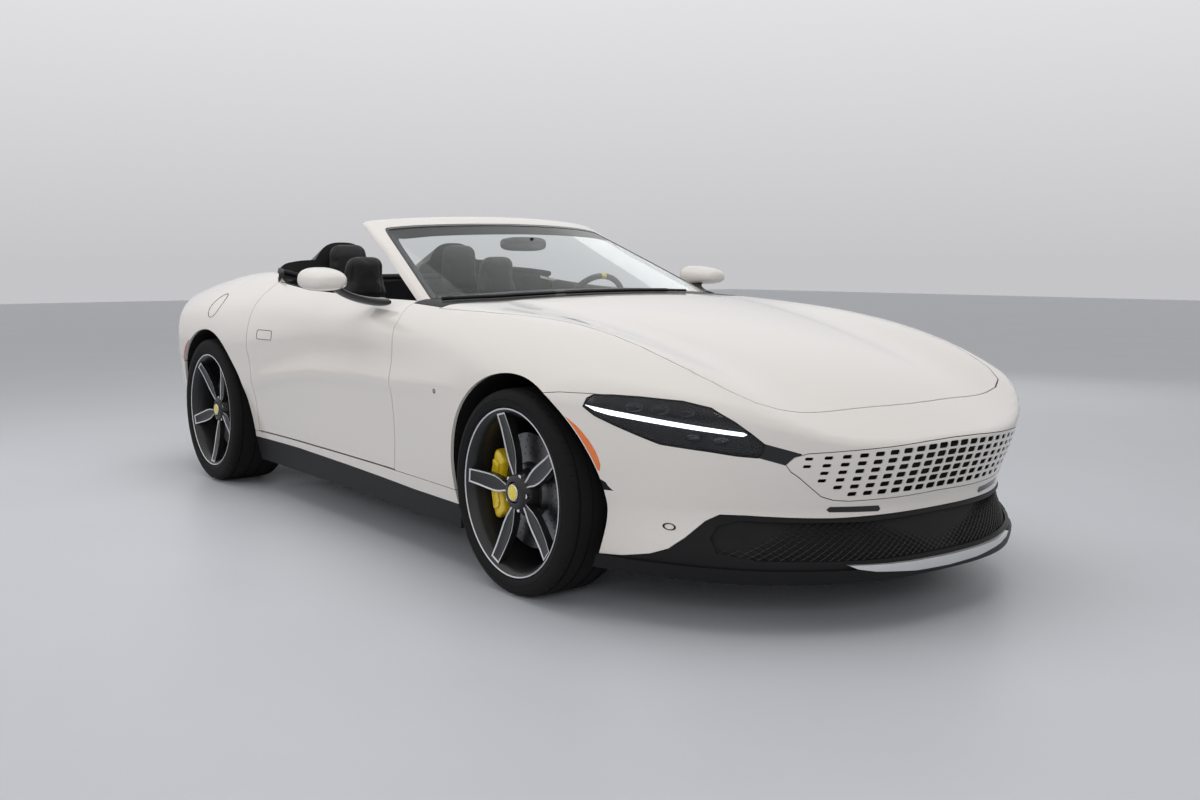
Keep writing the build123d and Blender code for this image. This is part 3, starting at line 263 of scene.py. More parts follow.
def add_bevel(piece, width, segments, angle=30):
    """Round the edges that turn by more than an angle in degrees."""
    edges = piece.modifiers.new("edges", "BEVEL")
    edges.width, edges.segments = width, segments
    edges.limit_method, edges.angle_limit = "ANGLE", math.radians(angle)


AXES = {
    "top": lambda a, b, c: (a, b, c),        # outline (x, y), depth z
    "side": lambda a, b, c: (a, c, b),       # outline (x, z), depth y
    "front": lambda a, b, c: (c, a, b),      # outline (y, z), depth x
}


def add_prism(bm, points, low, high, view, grow=0.0, place=None):
    """Straight prism on an outline, added to a bmesh."""
    if grow:
        points = grow_outline(points, grow)
    put = place or AXES[view]
    base = [bm.verts.new(put(a, b, low)) for a, b in points]
    face = bm.faces.new(base)
    extruded = bmesh.ops.extrude_face_region(bm, geom=[face])
    tops = [v for v in extruded["geom"] if isinstance(v, bmesh.types.BMVert)]
    shift = Vector(put(0, 0, high)) - Vector(put(0, 0, low))
    bmesh.ops.translate(bm, verts=tops, vec=shift)
    bmesh.ops.recalc_face_normals(bm, faces=faces_of(base + tops))
    return base + tops


def mirrored(points):
    """A half outline given for positive second values, closed across the centre."""
    return list(points) + [(a, -b) for a, b in reversed(points) if b > 1e-9]


def mirrored_front(points):
    return list(points) + [(-a, b) for a, b in reversed(points) if a > 1e-9]


class Cutter:
    """Prisms that together trim a panel."""

    def __init__(self):
        self.bm = bmesh.new()

    def prism(self, points, low, high, view, grow=0.0, both=False, place=None):
        verts = add_prism(self.bm, points, low, high, view, grow, place)
        if both:
            self.mirror(verts)
        return self

    def mirror(self, verts):
        copy = bmesh.ops.duplicate(self.bm, geom=list(verts) + faces_of(verts))["geom"]
        new = [g for g in copy if isinstance(g, bmesh.types.BMVert)]
        bmesh.ops.scale(self.bm, verts=new, vec=(1, -1, 1))
        bmesh.ops.reverse_faces(self.bm, faces=[g for g in copy if isinstance(g, bmesh.types.BMFace)])

    def drum(self, x, z, radius, low, high, both=False, segments=96):
        """A cylinder lying across the car."""
        made = bmesh.ops.create_cone(self.bm, cap_ends=True, segments=segments, radius1=radius,
                                     radius2=radius, depth=high - low)["verts"]
        turn(self.bm, made, math.pi / 2, "X")
        bmesh.ops.translate(self.bm, verts=made, vec=(x, (low + high) / 2, z))
        if both:
            self.mirror(made)
        return self

    def object(self):
        return make_piece("cutter", self.bm)


def carve(piece, cutter, operation):
    """Boolean with a cutter, applied at once."""
    tool = cutter.object()
    modifier = piece.modifiers.new("carve", "BOOLEAN")
    modifier.operation = operation
    modifier.object = tool
    modifier.solver = "MANIFOLD"
    apply_modifiers(piece)
    bpy.data.objects.remove(tool)


def apply_modifiers(piece):
    graph = bpy.context.evaluated_depsgraph_get()
    graph.update()
    mesh = bpy.data.meshes.new_from_object(piece.evaluated_get(graph))
    piece.modifiers.clear()
    piece.data = mesh


def pull(items, key, width=3, kind=np.float32):
    """One property of many mesh elements as an array."""
    values = np.zeros(len(items) * width, kind)
    items.foreach_get(key, values)
    return values.reshape(-1, width) if width > 1 else values


PANEL = 0.012                            # thickness of the outer panels


def follow_form(mesh, thickness):
    """Give the faces on the skin, outer and inner, normals from the form itself."""
    normal = skin_normal(pull(mesh.vertices, "co").astype(float))
    centre = pull(mesh.polygons, "center").astype(float)
    facing = pull(mesh.polygons, "normal")
    along = (facing * skin_normal(centre)).sum(1)
    level = form(centre)
    sign = np.where((along > 0.85) & (level > -thickness * 0.5), 1,
                    np.where((along < -0.85) & (level < -thickness * 0.5), -1, 0))
    vertex = pull(mesh.loops, "vertex_index", 1, np.int32)
    face = np.repeat(np.arange(len(mesh.polygons)), pull(mesh.polygons, "loop_total", 1, np.int32))
    s = sign[face][:, None]
    result = np.where(s == 0, facing[face], s * normal[vertex])
    mesh.shade_smooth()
    mesh.normals_split_custom_set(result.tolist())


SKIN_GRID = (210, 116)                   # steps along and around each half of the body


def skin_object(name, thickness=PANEL, low=-0.98, high=1.0, grid=SKIN_GRID, lift=0.0):
    """The whole body skin as one closed shell: a grid drawn over each half and thickened inwards."""
    along, around = grid
    bm = bmesh.new()
    bmesh.ops.create_grid(bm, x_segments=along, y_segments=around, size=1)
    uv = np.array([v.co[:2] for v in bm.verts])
    t = (uv[:, 0] + 1) / 2
    fan = 0.2
    ahead = np.where(t > 1 - fan, (1 - t) / fan * np.pi / 2, np.pi / 2)
    theta = np.where(t < fan, np.pi - t / fan * np.pi / 2, ahead)
    spine = np.interp(t, [0, fan, 1 - fan, 1], [-1.9, -1.9, 1.9, 1.9])
    phi = np.pi / 2 * (low + (high - low) * (uv[:, 1] + 1) / 2)
    direction = np.stack([np.cos(theta) * np.cos(phi), np.sin(theta) * np.cos(phi), np.sin(phi)], 1)
    origin = np.stack([spine, 0 * spine, np.interp(spine, [-1.9, 1.9], [0.55, 0.45])], 1)
    outer = reach(origin, direction)
    outer = outer + skin_normal(outer) * lift
    outer[np.abs(outer[:, 1]) < 1e-5, 1] = 0
    for v, p in zip(bm.verts, outer):
        v.co = p
    copy = bmesh.ops.duplicate(bm, geom=bm.verts[:] + bm.faces[:])["geom"]
    bmesh.ops.scale(bm, verts=[g for g in copy if isinstance(g, bmesh.types.BMVert)], vec=(1, -1, 1))
    bmesh.ops.reverse_faces(bm, faces=[g for g in copy if isinstance(g, bmesh.types.BMFace)])
    bmesh.ops.remove_doubles(bm, verts=bm.verts, dist=1e-5)
    face_outwards(bm)
    if thickness:
        outside = {v: v.co.copy() for v in bm.verts}
        faces = bm.faces[:]
        inner = bmesh.ops.duplicate(bm, geom=bm.verts[:] + faces)
        pairs = [(a, b) for a, b in inner["vert_map"].items() if a in outside]
        normals = skin_normal(np.array([outside[a] for a, b in pairs]))
        for (a, b), n in zip(pairs, normals):
            b.co = outside[a] - Vector(n) * thickness
        bmesh.ops.reverse_faces(bm, faces=[g for g in inner["geom"] if isinstance(g, bmesh.types.BMFace)])
        edges = [e for e in bm.edges if e.is_boundary]
        if edges:
            bmesh.ops.bridge_loops(bm, edges=edges)
    return make_piece(name, bm)


# ------------------------------------------------------------------ materials
def add_node(tree, kind, **values):
    n = tree.nodes.new(kind)
    for k, v in values.items():
        if k in n.inputs:
            n.inputs[k].default_value = v
        else:
            setattr(n, k, v)
    return n


def wire(tree, source, output, target, socket):
    tree.links.new(source.outputs[output], target.inputs[socket])


def effect(name, inputs, outputs, build):
    """A shader node group with named inputs and outputs."""
    if name in bpy.data.node_groups:
        return bpy.data.node_groups[name]
    g = bpy.data.node_groups.new(name, "ShaderNodeTree")
    for label, kind, default in inputs:
        s = g.interface.new_socket(label, in_out="INPUT", socket_type=kind)
        if default is not None:
            s.default_value = default
    for label, kind in outputs:
        g.interface.new_socket(label, in_out="OUTPUT", socket_type=kind)
    a = g.nodes.new("NodeGroupInput")
    b = g.nodes.new("NodeGroupOutput")
    build(g, a, b)
    return g


def grain_effect():
    """Fine mottling: a mask and a height from layered noise."""
    def build(g, a, b):
        c = add_node(g, "ShaderNodeTexCoord")
        n = add_node(g, "ShaderNodeTexNoise", noise_dimensions="3D", Detail=5.0, Roughness=0.6)
        wire(g, c, "Object", n, "Vector")
        wire(g, a, "Scale", n, "Scale")
        m = add_node(g, "ShaderNodeMath", operation="MULTIPLY")
        wire(g, n, "Fac", m, 0)
        wire(g, a, "Amount", m, 1)
        wire(g, n, "Fac", b, "Mask")
        wire(g, m, 0, b, "Height")
    return effect("Grain", [("Scale", "NodeSocketFloat", 400.0), ("Amount", "NodeSocketFloat", 1.0)],
                  [("Mask", "NodeSocketFloat"), ("Height", "NodeSocketFloat")], build)


def hide_effect():
    """Leather pebbles with creases between them."""
    def build(g, a, b):
        c = add_node(g, "ShaderNodeTexCoord")
        v = add_node(g, "ShaderNodeTexVoronoi", feature="DISTANCE_TO_EDGE")
        n = add_node(g, "ShaderNodeTexNoise", Scale=9.0, Detail=3.0)
        wire(g, c, "Object", v, "Vector")
        wire(g, c, "Object", n, "Vector")
        wire(g, a, "Scale", v, "Scale")
        r = add_node(g, "ShaderNodeMapRange")
        r.inputs["From Max"].default_value = 0.12
        wire(g, v, "Distance", r, "Value")
        wire(g, r, "Result", b, "Height")
        wire(g, n, "Fac", b, "Wear")
    return effect("Hide", [("Scale", "NodeSocketFloat", 420.0)],
                  [("Height", "NodeSocketFloat"), ("Wear", "NodeSocketFloat")], build)


def dust_effect():
    """Settled dust: more low on the body, mottled by noise."""
    def build(g, a, b):
        c = add_node(g, "ShaderNodeTexCoord")
        n = add_node(g, "ShaderNodeTexNoise", Scale=14.0, Detail=6.0, Roughness=0.65)
        wire(g, c, "Object", n, "Vector")
        s = add_node(g, "ShaderNodeSeparateXYZ")
        wire(g, c, "Object", s, 0)
        r = add_node(g, "ShaderNodeMapRange")
        r.inputs["From Min"].default_value = 0.65
        r.inputs["From Max"].default_value = 0.05
        wire(g, s, "Z", r, "Value")
        m = add_node(g, "ShaderNodeMath", operation="MULTIPLY")
        wire(g, r, "Result", m, 0)
        wire(g, n, "Fac", m, 1)
        k = add_node(g, "ShaderNodeMath", operation="MULTIPLY")
        wire(g, m, 0, k, 0)
        wire(g, a, "Amount", k, 1)
        wire(g, k, 0, b, "Mask")
    return effect("Dust", [("Amount", "NodeSocketFloat", 0.2)], [("Mask", "NodeSocketFloat")], build)


def weave_effect():
    """Tufts of carpet and cloth: noise times cell distance as a height."""
    def build(g, a, b):
        c = add_node(g, "ShaderNodeTexCoord")
        n = add_node(g, "ShaderNodeTexNoise", Detail=4.0, Roughness=0.7)
        v = add_node(g, "ShaderNodeTexVoronoi", feature="F1")
        for t in (n, v):
            wire(g, c, "Object", t, "Vector")
            wire(g, a, "Scale", t, "Scale")
        m = add_node(g, "ShaderNodeMath", operation="MULTIPLY")
        wire(g, n, "Fac", m, 0)
        wire(g, v, "Distance", m, 1)
        wire(g, m, 0, b, "Height")
        wire(g, n, "Fac", b, "Mask")
    return effect("Pile", [("Scale", "NodeSocketFloat", 500.0)],
                  [("Height", "NodeSocketFloat"), ("Mask", "NodeSocketFloat")], build)


def principled(name, **values):
    m = bpy.data.materials.new(name)
    m.use_nodes = True
    shader = m.node_tree.nodes["Principled BSDF"]
    for k, v in values.items():
        socket = shader.inputs[k]
        colour = isinstance(v, tuple) and len(v) == 3 and socket.type == "RGBA"
        socket.default_value = (*v, 1) if colour else v
    return m, m.node_tree, shader


def place_effect(tree, group, **values):
    n = tree.nodes.new("ShaderNodeGroup")
    n.node_tree = group
    for k, v in values.items():
        n.inputs[k].default_value = v
    return n


def mix_colours(tree, factor, a, b, target):
    m = tree.nodes.new("ShaderNodeMix")
    m.data_type = "RGBA"
    m.inputs["A"].default_value = (*a, 1)
    m.inputs["B"].default_value = (*b, 1)
    tree.links.new(factor, m.inputs["Factor"])
    tree.links.new(m.outputs["Result"], target)
    return m


def lay_over(tree, base, mask, colour, target):
    """Mix a plain colour over a linked one by a mask."""
    m = tree.nodes.new("ShaderNodeMix")
    m.data_type = "RGBA"
    m.inputs["B"].default_value = (*colour, 1)
    tree.links.new(base, m.inputs["A"])
    tree.links.new(mask, m.inputs["Factor"])
    tree.links.new(m.outputs["Result"], target)


def bump(tree, height, target, strength, distance=0.001):
    n = add_node(tree, "ShaderNodeBump", Strength=strength, Distance=distance)
    tree.links.new(height, n.inputs["Height"])
    tree.links.new(n.outputs["Normal"], target)


def span(tree, value, low, high, target):
    r = tree.nodes.new("ShaderNodeMapRange")
    r.inputs["To Min"].default_value = low
    r.inputs["To Max"].default_value = high
    tree.links.new(value, r.inputs["Value"])
    tree.links.new(r.outputs["Result"], target)


def paint_material(colour, flake):
    m, t, s = principled("pearl_paint", **{"Base Color": colour, "Roughness": 0.34, "Coat Weight": 1.0,
                                           "Coat Roughness": 0.03, "Specular IOR Level": 0.5,
                                           "Metallic": 0.0})
    g = place_effect(t, grain_effect(), Scale=900.0, Amount=1.0)
    d = place_effect(t, dust_effect(), Amount=0.10)
    pearl = mix_colours(t, g.outputs["Mask"], colour, flake, s.inputs["Base Color"])
    lay_over(t, pearl.outputs["Result"], d.outputs["Mask"], (0.55, 0.53, 0.50), s.inputs["Base Color"])
    span(t, g.outputs["Mask"], 0.28, 0.40, s.inputs["Roughness"])
    bump(t, g.outputs["Height"], s.inputs["Normal"], 0.02, 0.0004)
    return m


def shell_paint(m, colour):
    """Under the tail's panels the shell is painted like them; elsewhere it stays black."""
    t = m.node_tree
    s = t.nodes["Principled BSDF"]
    place = t.nodes.new("ShaderNodeTexCoord")
    split = t.nodes.new("ShaderNodeSeparateXYZ")
    wire(t, place, "Object", split, 0)
    masks = []
    for axis, low, high, a, b in (("X", -1.90, -1.86, 1.0, 0.0), ("Z", 0.355, 0.365, 0.0, 1.0)):
        r = t.nodes.new("ShaderNodeMapRange")
        for key, value in (("From Min", low), ("From Max", high), ("To Min", a), ("To Max", b)):
            r.inputs[key].default_value = value
        t.links.new(split.outputs[axis], r.inputs["Value"])
        masks.append(r.outputs["Result"])
    both = t.nodes.new("ShaderNodeMath")
    both.operation = "MULTIPLY"
    t.links.new(masks[0], both.inputs[0])
    t.links.new(masks[1], both.inputs[1])
    lay_over(t, s.inputs["Base Color"].links[0].from_socket, both.outputs[0], colour, s.inputs["Base Color"])


def grained_material(name, colour, second, low, high, scale, strength, distance=0.0008, dust=0.0, **values):
    m, t, s = principled(name, **{"Base Color": colour, **values})
    g = place_effect(t, grain_effect(), Scale=scale, Amount=1.0)
    base = mix_colours(t, g.outputs["Mask"], colour, second, s.inputs["Base Color"])
    if dust:
        d = place_effect(t, dust_effect(), Amount=dust)
        lay_over(t, base.outputs["Result"], d.outputs["Mask"], (0.30, 0.28, 0.26), s.inputs["Base Color"])
    span(t, g.outputs["Mask"], low, high, s.inputs["Roughness"])
    bump(t, g.outputs["Height"], s.inputs["Normal"], strength, distance)
    return m


def leather_material(name, colour, worn, scale=420.0):
    m, t, s = principled(name, **{"Base Color": colour, "Roughness": 0.5, "Sheen Weight": 0.08,
                                  "Specular IOR Level": 0.4})
    g = place_effect(t, hide_effect(), Scale=scale)
    mix_colours(t, g.outputs["Wear"], colour, worn, s.inputs["Base Color"])
    span(t, g.outputs["Wear"], 0.42, 0.62, s.inputs["Roughness"])
    bump(t, g.outputs["Height"], s.inputs["Normal"], 0.35, 0.0006)
    return m


def carpet_material():
    m, t, s = principled("carpet", **{"Base Color": (0.02, 0.02, 0.02), "Roughness": 0.95,
                                      "Sheen Weight": 0.3})
    g = place_effect(t, weave_effect(), Scale=520.0)
    mix_colours(t, g.outputs["Mask"], (0.008, 0.008, 0.009), (0.035, 0.035, 0.038), s.inputs["Base Color"])
    bump(t, g.outputs["Height"], s.inputs["Normal"], 0.8, 0.002)
    return m


def clear_material(name, colour, roughness=0.0, ior=1.45, **values):
    m, t, s = principled(name, **{"Base Color": colour, "Roughness": roughness, "Transmission Weight": 1.0,
                                  "IOR": ior, **values})
    g = place_effect(t, grain_effect(), Scale=30.0, Amount=1.0)
    span(t, g.outputs["Mask"], roughness, roughness + 0.02, s.inputs["Roughness"])
    return m


def glow_material(name, colour, strength):
    m, t, s = principled(name, **{"Base Color": colour, "Emission Color": colour,
                                  "Emission Strength": strength, "Roughness": 0.4})
    g = place_effect(t, grain_effect(), Scale=220.0, Amount=1.0)
    mix_colours(t, g.outputs["Mask"], colour, tuple(0.8 * c for c in colour), s.inputs["Emission Color"])
    return m


def tyre_material():
    m, t, s = principled("tyre_rubber", **{"Base Color": (0.010, 0.010, 0.0105), "Roughness": 0.75,
                                           "Specular IOR Level": 0.15})
    g = place_effect(t, grain_effect(), Scale=260.0, Amount=1.0)
    d = place_effect(t, dust_effect(), Amount=0.05)
    base = mix_colours(t, g.outputs["Mask"], (0.006, 0.006, 0.0065), (0.012, 0.012, 0.0125),
                       s.inputs["Base Color"])
    lay_over(t, base.outputs["Result"], d.outputs["Mask"], (0.10, 0.095, 0.09), s.inputs["Base Color"])
    span(t, g.outputs["Mask"], 0.62, 0.85, s.inputs["Roughness"])
    bump(t, g.outputs["Height"], s.inputs["Normal"], 0.25, 0.0006)
    return m


def brushed_material(name, colour, low=0.18, high=0.34, scale=(600.0, 600.0, 30.0), **values):
    """Metal with fine turned or drawn lines."""
    m, t, s = principled(name, **{"Base Color": colour, "Metallic": 1.0, "Roughness": low, **values})
    c = add_node(t, "ShaderNodeTexCoord")
    p = add_node(t, "ShaderNodeMapping")
    p.inputs["Scale"].default_value = scale
    n = add_node(t, "ShaderNodeTexNoise", Scale=1.0, Detail=4.0)
    wire(t, c, "Object", p, "Vector")
    wire(t, p, "Vector", n, "Vector")
    span(t, n.outputs["Fac"], low, high, s.inputs["Roughness"])
    mix_colours(t, n.outputs["Fac"], tuple(0.85 * v for v in colour), colour, s.inputs["Base Color"])
    bump(t, n.outputs["Fac"], s.inputs["Normal"], 0.05, 0.0004)
    return m


def make_materials(look):
    body = tuple(look.body_colour)
    accent = tuple(look.accent_colour)
    brake = tuple(look.caliper_colour)
    M = MATERIALS
    M["paint"] = paint_material(body, tuple(min(1, 1.04 * v) for v in body))
    M["trim"] = grained_material("black_trim", (0.005, 0.005, 0.0055), (0.009, 0.009, 0.010), 0.40, 0.52,
                                 1400.0, 0.12, dust=0.01, **{"Specular IOR Level": 0.2})
    M["gloss"] = grained_material("gloss_black", (0.008, 0.008, 0.009), (0.012, 0.012, 0.013), 0.10, 0.18,
                                  300.0, 0.02, **{"Coat Weight": 0.2, "Specular IOR Level": 0.35})
    M["seal"] = grained_material("rubber_seal", (0.010, 0.010, 0.010), (0.018, 0.018, 0.018), 0.6, 0.8, 700.0,
                                 0.2)
    M["structure"] = grained_material("under_paint", (0.005, 0.005, 0.0055), (0.010, 0.010, 0.011), 0.6, 0.8,
                                      90.0, 0.15, dust=0.05, **{"Specular IOR Level": 0.25})
    shell_paint(M["structure"], body)
    M["leather"] = leather_material("black_leather", (0.008, 0.008, 0.008), (0.016, 0.0155, 0.015))
    M["accent"] = leather_material("accent_leather", accent, tuple(0.8 * v for v in accent), 600.0)
    M["carpet"] = carpet_material()
    M["glass"] = clear_material("screen_glass", (0.84, 0.88, 0.87), 0.0, 1.16)
    M["lens"] = clear_material("lamp_lens", (0.80, 0.81, 0.84), 0.0, 1.3)
    M["red_lens"] = clear_material("red_lens", (0.70, 0.02, 0.015), 0.05, 1.4)
    M["amber"] = grained_material("amber_reflector", (0.75, 0.13, 0.01), (0.85, 0.22, 0.02), 0.12, 0.22,
                                  260.0, 0.25, **{"Coat Weight": 1.0})
    M["frit"] = grained_material("screen_frit", (0.006, 0.006, 0.007), (0.010, 0.010, 0.011), 0.08, 0.14,
                                 500.0, 0.02)
    M["glow"] = glow_material("running_light", (0.95, 0.97, 1.0), 2.2)
    M["red_glow"] = glow_material("tail_light", (0.85, 0.02, 0.01), 1.2)
    M["tyre"] = tyre_material()
    M["wheel"] = grained_material("wheel_paint", (0.009, 0.009, 0.010), (0.015, 0.015, 0.016), 0.34, 0.44,
                                  800.0, 0.03, dust=0.04, **{"Metallic": 0.3, "Coat Weight": 0.2})
    M["cut"] = brushed_material("cut_alloy", (0.80, 0.80, 0.82), 0.34, 0.48)
    M["disc"] = brushed_material("ground_iron", (0.20, 0.20, 0.205), 0.26, 0.42)
    M["caliper"] = grained_material("caliper_paint", brake, tuple(0.85 * v for v in brake), 0.2, 0.32, 200.0,
                                    0.04, dust=0.1, **{"Coat Weight": 0.8})
    M["cap"] = grained_material("cap_enamel", accent, tuple(0.9 * v for v in accent), 0.15, 0.25, 400.0, 0.02,
                                **{"Coat Weight": 1.0})
    M["cast"] = grained_material("cast_alloy", (0.32, 0.32, 0.33), (0.42, 0.42, 0.43), 0.4, 0.6, 160.0, 0.3,
                                 **{"Metallic": 0.9})
    M["engine"] = grained_material("engine_cover", (0.05, 0.05, 0.052), (0.09, 0.09, 0.092), 0.4, 0.6, 220.0,
                                   0.4, **{"Metallic": 0.5})
    M["chrome"] = brushed_material("bright_metal", (0.85, 0.85, 0.86), 0.06, 0.14)
    M["mirror"] = brushed_material("mirror_glass", (0.88, 0.89, 0.90), 0.01, 0.03)
    M["silver"] = grained_material("silver_lip", (0.62, 0.62, 0.62), (0.70, 0.70, 0.70), 0.28, 0.36, 700.0,
                                   0.03, **{"Metallic": 0.35, "Coat Weight": 0.6})
    M["net"] = grained_material("intake_net", (0.010, 0.010, 0.011), (0.020, 0.020, 0.021), 0.35, 0.5, 900.0,
                                0.1)
    # Near-black painted shade, laid in the brake holes, exhaust bores, cup wells and behind the nose.
    M["dark"] = grained_material("shadow_liner", (0.003, 0.003, 0.003), (0.006, 0.006, 0.006), 0.85, 0.95,
                                 60.0, 0.1)
    M["red"] = grained_material("red_reflector", (0.40, 0.008, 0.006), (0.50, 0.014, 0.010), 0.12, 0.22,
                                260.0, 0.25, **{"Coat Weight": 1.0})
    M["screen"] = grained_material("display_glass", (0.008, 0.009, 0.011), (0.012, 0.013, 0.016), 0.06, 0.10,
                                   300.0, 0.01)


# ------------------------------------------------------------------ panel outlines
NOSE, TAIL = 2.328, -2.328
FRONT_AXLE, REAR_AXLE = 1.318, -1.352
FRONT_R, REAR_R = 0.340, 0.354
FRONT_ARCH, REAR_ARCH = 0.390, 0.402
GAP = 0.0045
ROOF, SIDE = 1.4, 1.1
BONNET = [(0.800, 0), (0.788, 0.22), (0.762, 0.40), (0.715, 0.60), (0.640, 0.795), (0.820, 0.780),
          (1.000, 0.757), (1.179, 0.712), (1.345, 0.676), (1.568, 0.671), (1.759, 0.668), (1.888, 0.652),
          (2.000, 0.622), (2.068, 0.580), (2.100, 0.520), (2.116, 0.440), (2.128, 0.340), (2.142, 0.214),
          (2.153, 0.100), (2.157, 0)]
COWL = [(0.795, 0), (0.783, 0.22), (0.757, 0.40), (0.710, 0.60), (0.635, 0.788), (0.428, 0.788),
        (0.420, 0.700), (0.470, 0.400), (0.520, 0)]
CABIN = [(0.520, 0), (0.470, 0.400), (0.420, 0.700), (0.410, 0.765), (0.10, 0.790), (-0.50, 0.800),
         (-0.80, 0.780), (-0.93, 0.745), (-1.06, 0.705), (-1.150, 0.680), (-1.150, 0)]
TONNEAU = [(-1.155, 0), (-1.155, 0.680), (-1.40, 0.660), (-1.66, 0.625), (-1.710, 0.560), (-1.722, 0.30),
           (-1.724, 0)]
BOOT = [(-1.730, 0), (-1.728, 0.30), (-1.716, 0.562), (-1.80, 0.575), (-2.10, 0.545), (-2.215, 0.505),
        (-2.228, 0.30), (-2.232, 0)]
DOOR_FRONT = [(0.443, 0.295), (0.468, 0.409), (0.480, 0.48), (0.486, 0.565), (0.484, 0.63), (0.478, 0.697),
              (0.470, 0.772), (0.458, 0.864), (0.427, 0.918), (0.395, 1.1)]
DOOR_REAR = [(-0.898, 1.1), (-0.890, 0.90), (-0.872, 0.70), (-0.868, 0.55), (-0.880, 0.38), (-0.905, 0.295)]
DOOR = DOOR_FRONT + DOOR_REAR
FENDER_SEAM = [(1.502, 0.684), (1.569, 0.691), (1.675, 0.693), (1.85, 0.690), (2.022, 0.668)]
FENDER = ([(x + 0.005, z) for x, z in DOOR_FRONT] + [(2.022, 1.1)] + FENDER_SEAM[::-1]
          + [(1.318, 0.340), (1.318, 0.291), (0.448, 0.291)])
BUMPER_EDGE = [(2.4, 0.338), (2.20, 0.338), (2.06, 0.350), (2.006, 0.351), (1.975, 0.330), (1.934, 0.279),
               (1.894, 0.242), (1.844, 0.222), (1.76, 0.206), (1.641, 0.198), (1.54, 0.196)]
BUMPER = ([(1.468, 0.340)] + [(x, z - 0.002) for x, z in FENDER_SEAM] + [(2.024, 1.1), (2.4, 1.1)]
          + BUMPER_EDGE)
QUARTER = [(-0.903, 1.1), (-0.895, 0.90), (-0.877, 0.70), (-0.873, 0.55), (-0.885, 0.38), (-0.912, 0.291),
           (-1.352, 0.291), (-1.352, 0.354), (-1.71, 0.600), (-1.90, 0.612), (-2.205, 0.645), (-2.205, 1.1)]
REAR_BUMPER = [(-1.60, 0.42), (-1.708, 0.598), (-1.90, 0.610), (-2.207, 0.643), (-2.207, 1.1), (-2.42, 1.1),
               (-2.42, 0.340), (-1.60, 0.340)]
GRILLE = [(0, 0.557), (0.120, 0.555), (0.235, 0.550), (0.394, 0.544), (0.500, 0.538), (0.530, 0.528),
          (0.545, 0.506), (0.530, 0.486), (0.506, 0.468), (0.470, 0.437), (0.433, 0.407), (0.395, 0.394),
          (0.348, 0.389), (0.173, 0.388), (0, 0.391)]
LAMP_FOOT = Vector((1.660, 0.898, 0))
LAMP_ALONG = Vector((0.85, -0.527, 0)).normalized()
LAMP_OUT = Vector((0.527, 0.85, 0)).normalized()
LAMP = [(0, 0.653), (0.012, 0.678), (0.034, 0.689), (0.100, 0.692), (0.187, 0.691), (0.321, 0.684),
        (0.404, 0.668), (0.474, 0.630), (0.520, 0.596), (0.555, 0.566), (0.549, 0.540), (0.535, 0.527),
        (0.480, 0.531), (0.405, 0.541), (0.252, 0.556), (0.177, 0.580), (0.100, 0.606), (0.040, 0.628)]
LAMP_TIP = [(0.5565, 0.567), (0.604, 0.553), (0.652, 0.538), (0.640, 0.520), (0.612, 0.504), (0.575, 0.516),
            (0.538, 0.5265), (0.550, 0.540)]


def lamp_place(u, z, depth):
    p = LAMP_FOOT + LAMP_ALONG * u + LAMP_OUT * depth
    return p.x, p.y, z


def arch_drums(cutter, grow=0.0):
    cutter.drum(FRONT_AXLE, FRONT_R, FRONT_ARCH + grow, 0.47, SIDE, both=True)
    cutter.drum(REAR_AXLE, REAR_R, REAR_ARCH + grow, 0.47, SIDE, both=True)
    return cutter


def cut_panel(source, name, keep, remove=(), body="body", material="paint", replaces=(), slot="paint",
              thickness=PANEL):
    """A copy of the whole skin, kept inside one cutter and outside the others."""
    piece = bpy.data.objects.new(name, source.data.copy())
    bpy.context.scene.collection.objects.link(piece)
    carve(piece, keep, "INTERSECT")
    for cutter in remove:
        carve(piece, cutter, "DIFFERENCE")
    piece.data.name = name
    piece.data.materials.clear()
    if len(piece.data.polygons) == 0:
        raise RuntimeError(f"{name} came out empty")
    follow_form(piece.data, thickness)
    return dress(piece, body, material, None, replaces)


def keep_prism(points, low, high, view, **more):
    return Cutter().prism(points, low, high, view, **more)


def skin_panel(name, keep, remove=(), thickness=PANEL, lift=0.0, grid=SKIN_GRID, **more):
    """One panel cut from a skin of its own thickness, moved off the body by lift."""
    skin = skin_object("skin", thickness=thickness, grid=grid, lift=lift)
    cut_panel(skin, name, keep, remove, thickness=thickness, **more)
    bpy.data.objects.remove(skin)


def lamp_prism(points, grow=0.0):
    """A prism through both headlamps, from an outline in their own plane."""
    return Cutter().prism(points, -0.2, 0.2, "top", grow, True, lamp_place)


def keep_sides(points):
    """A side-view outline on both flanks."""
    return Cutter().prism(points, 0.0005, SIDE, "side", both=True)


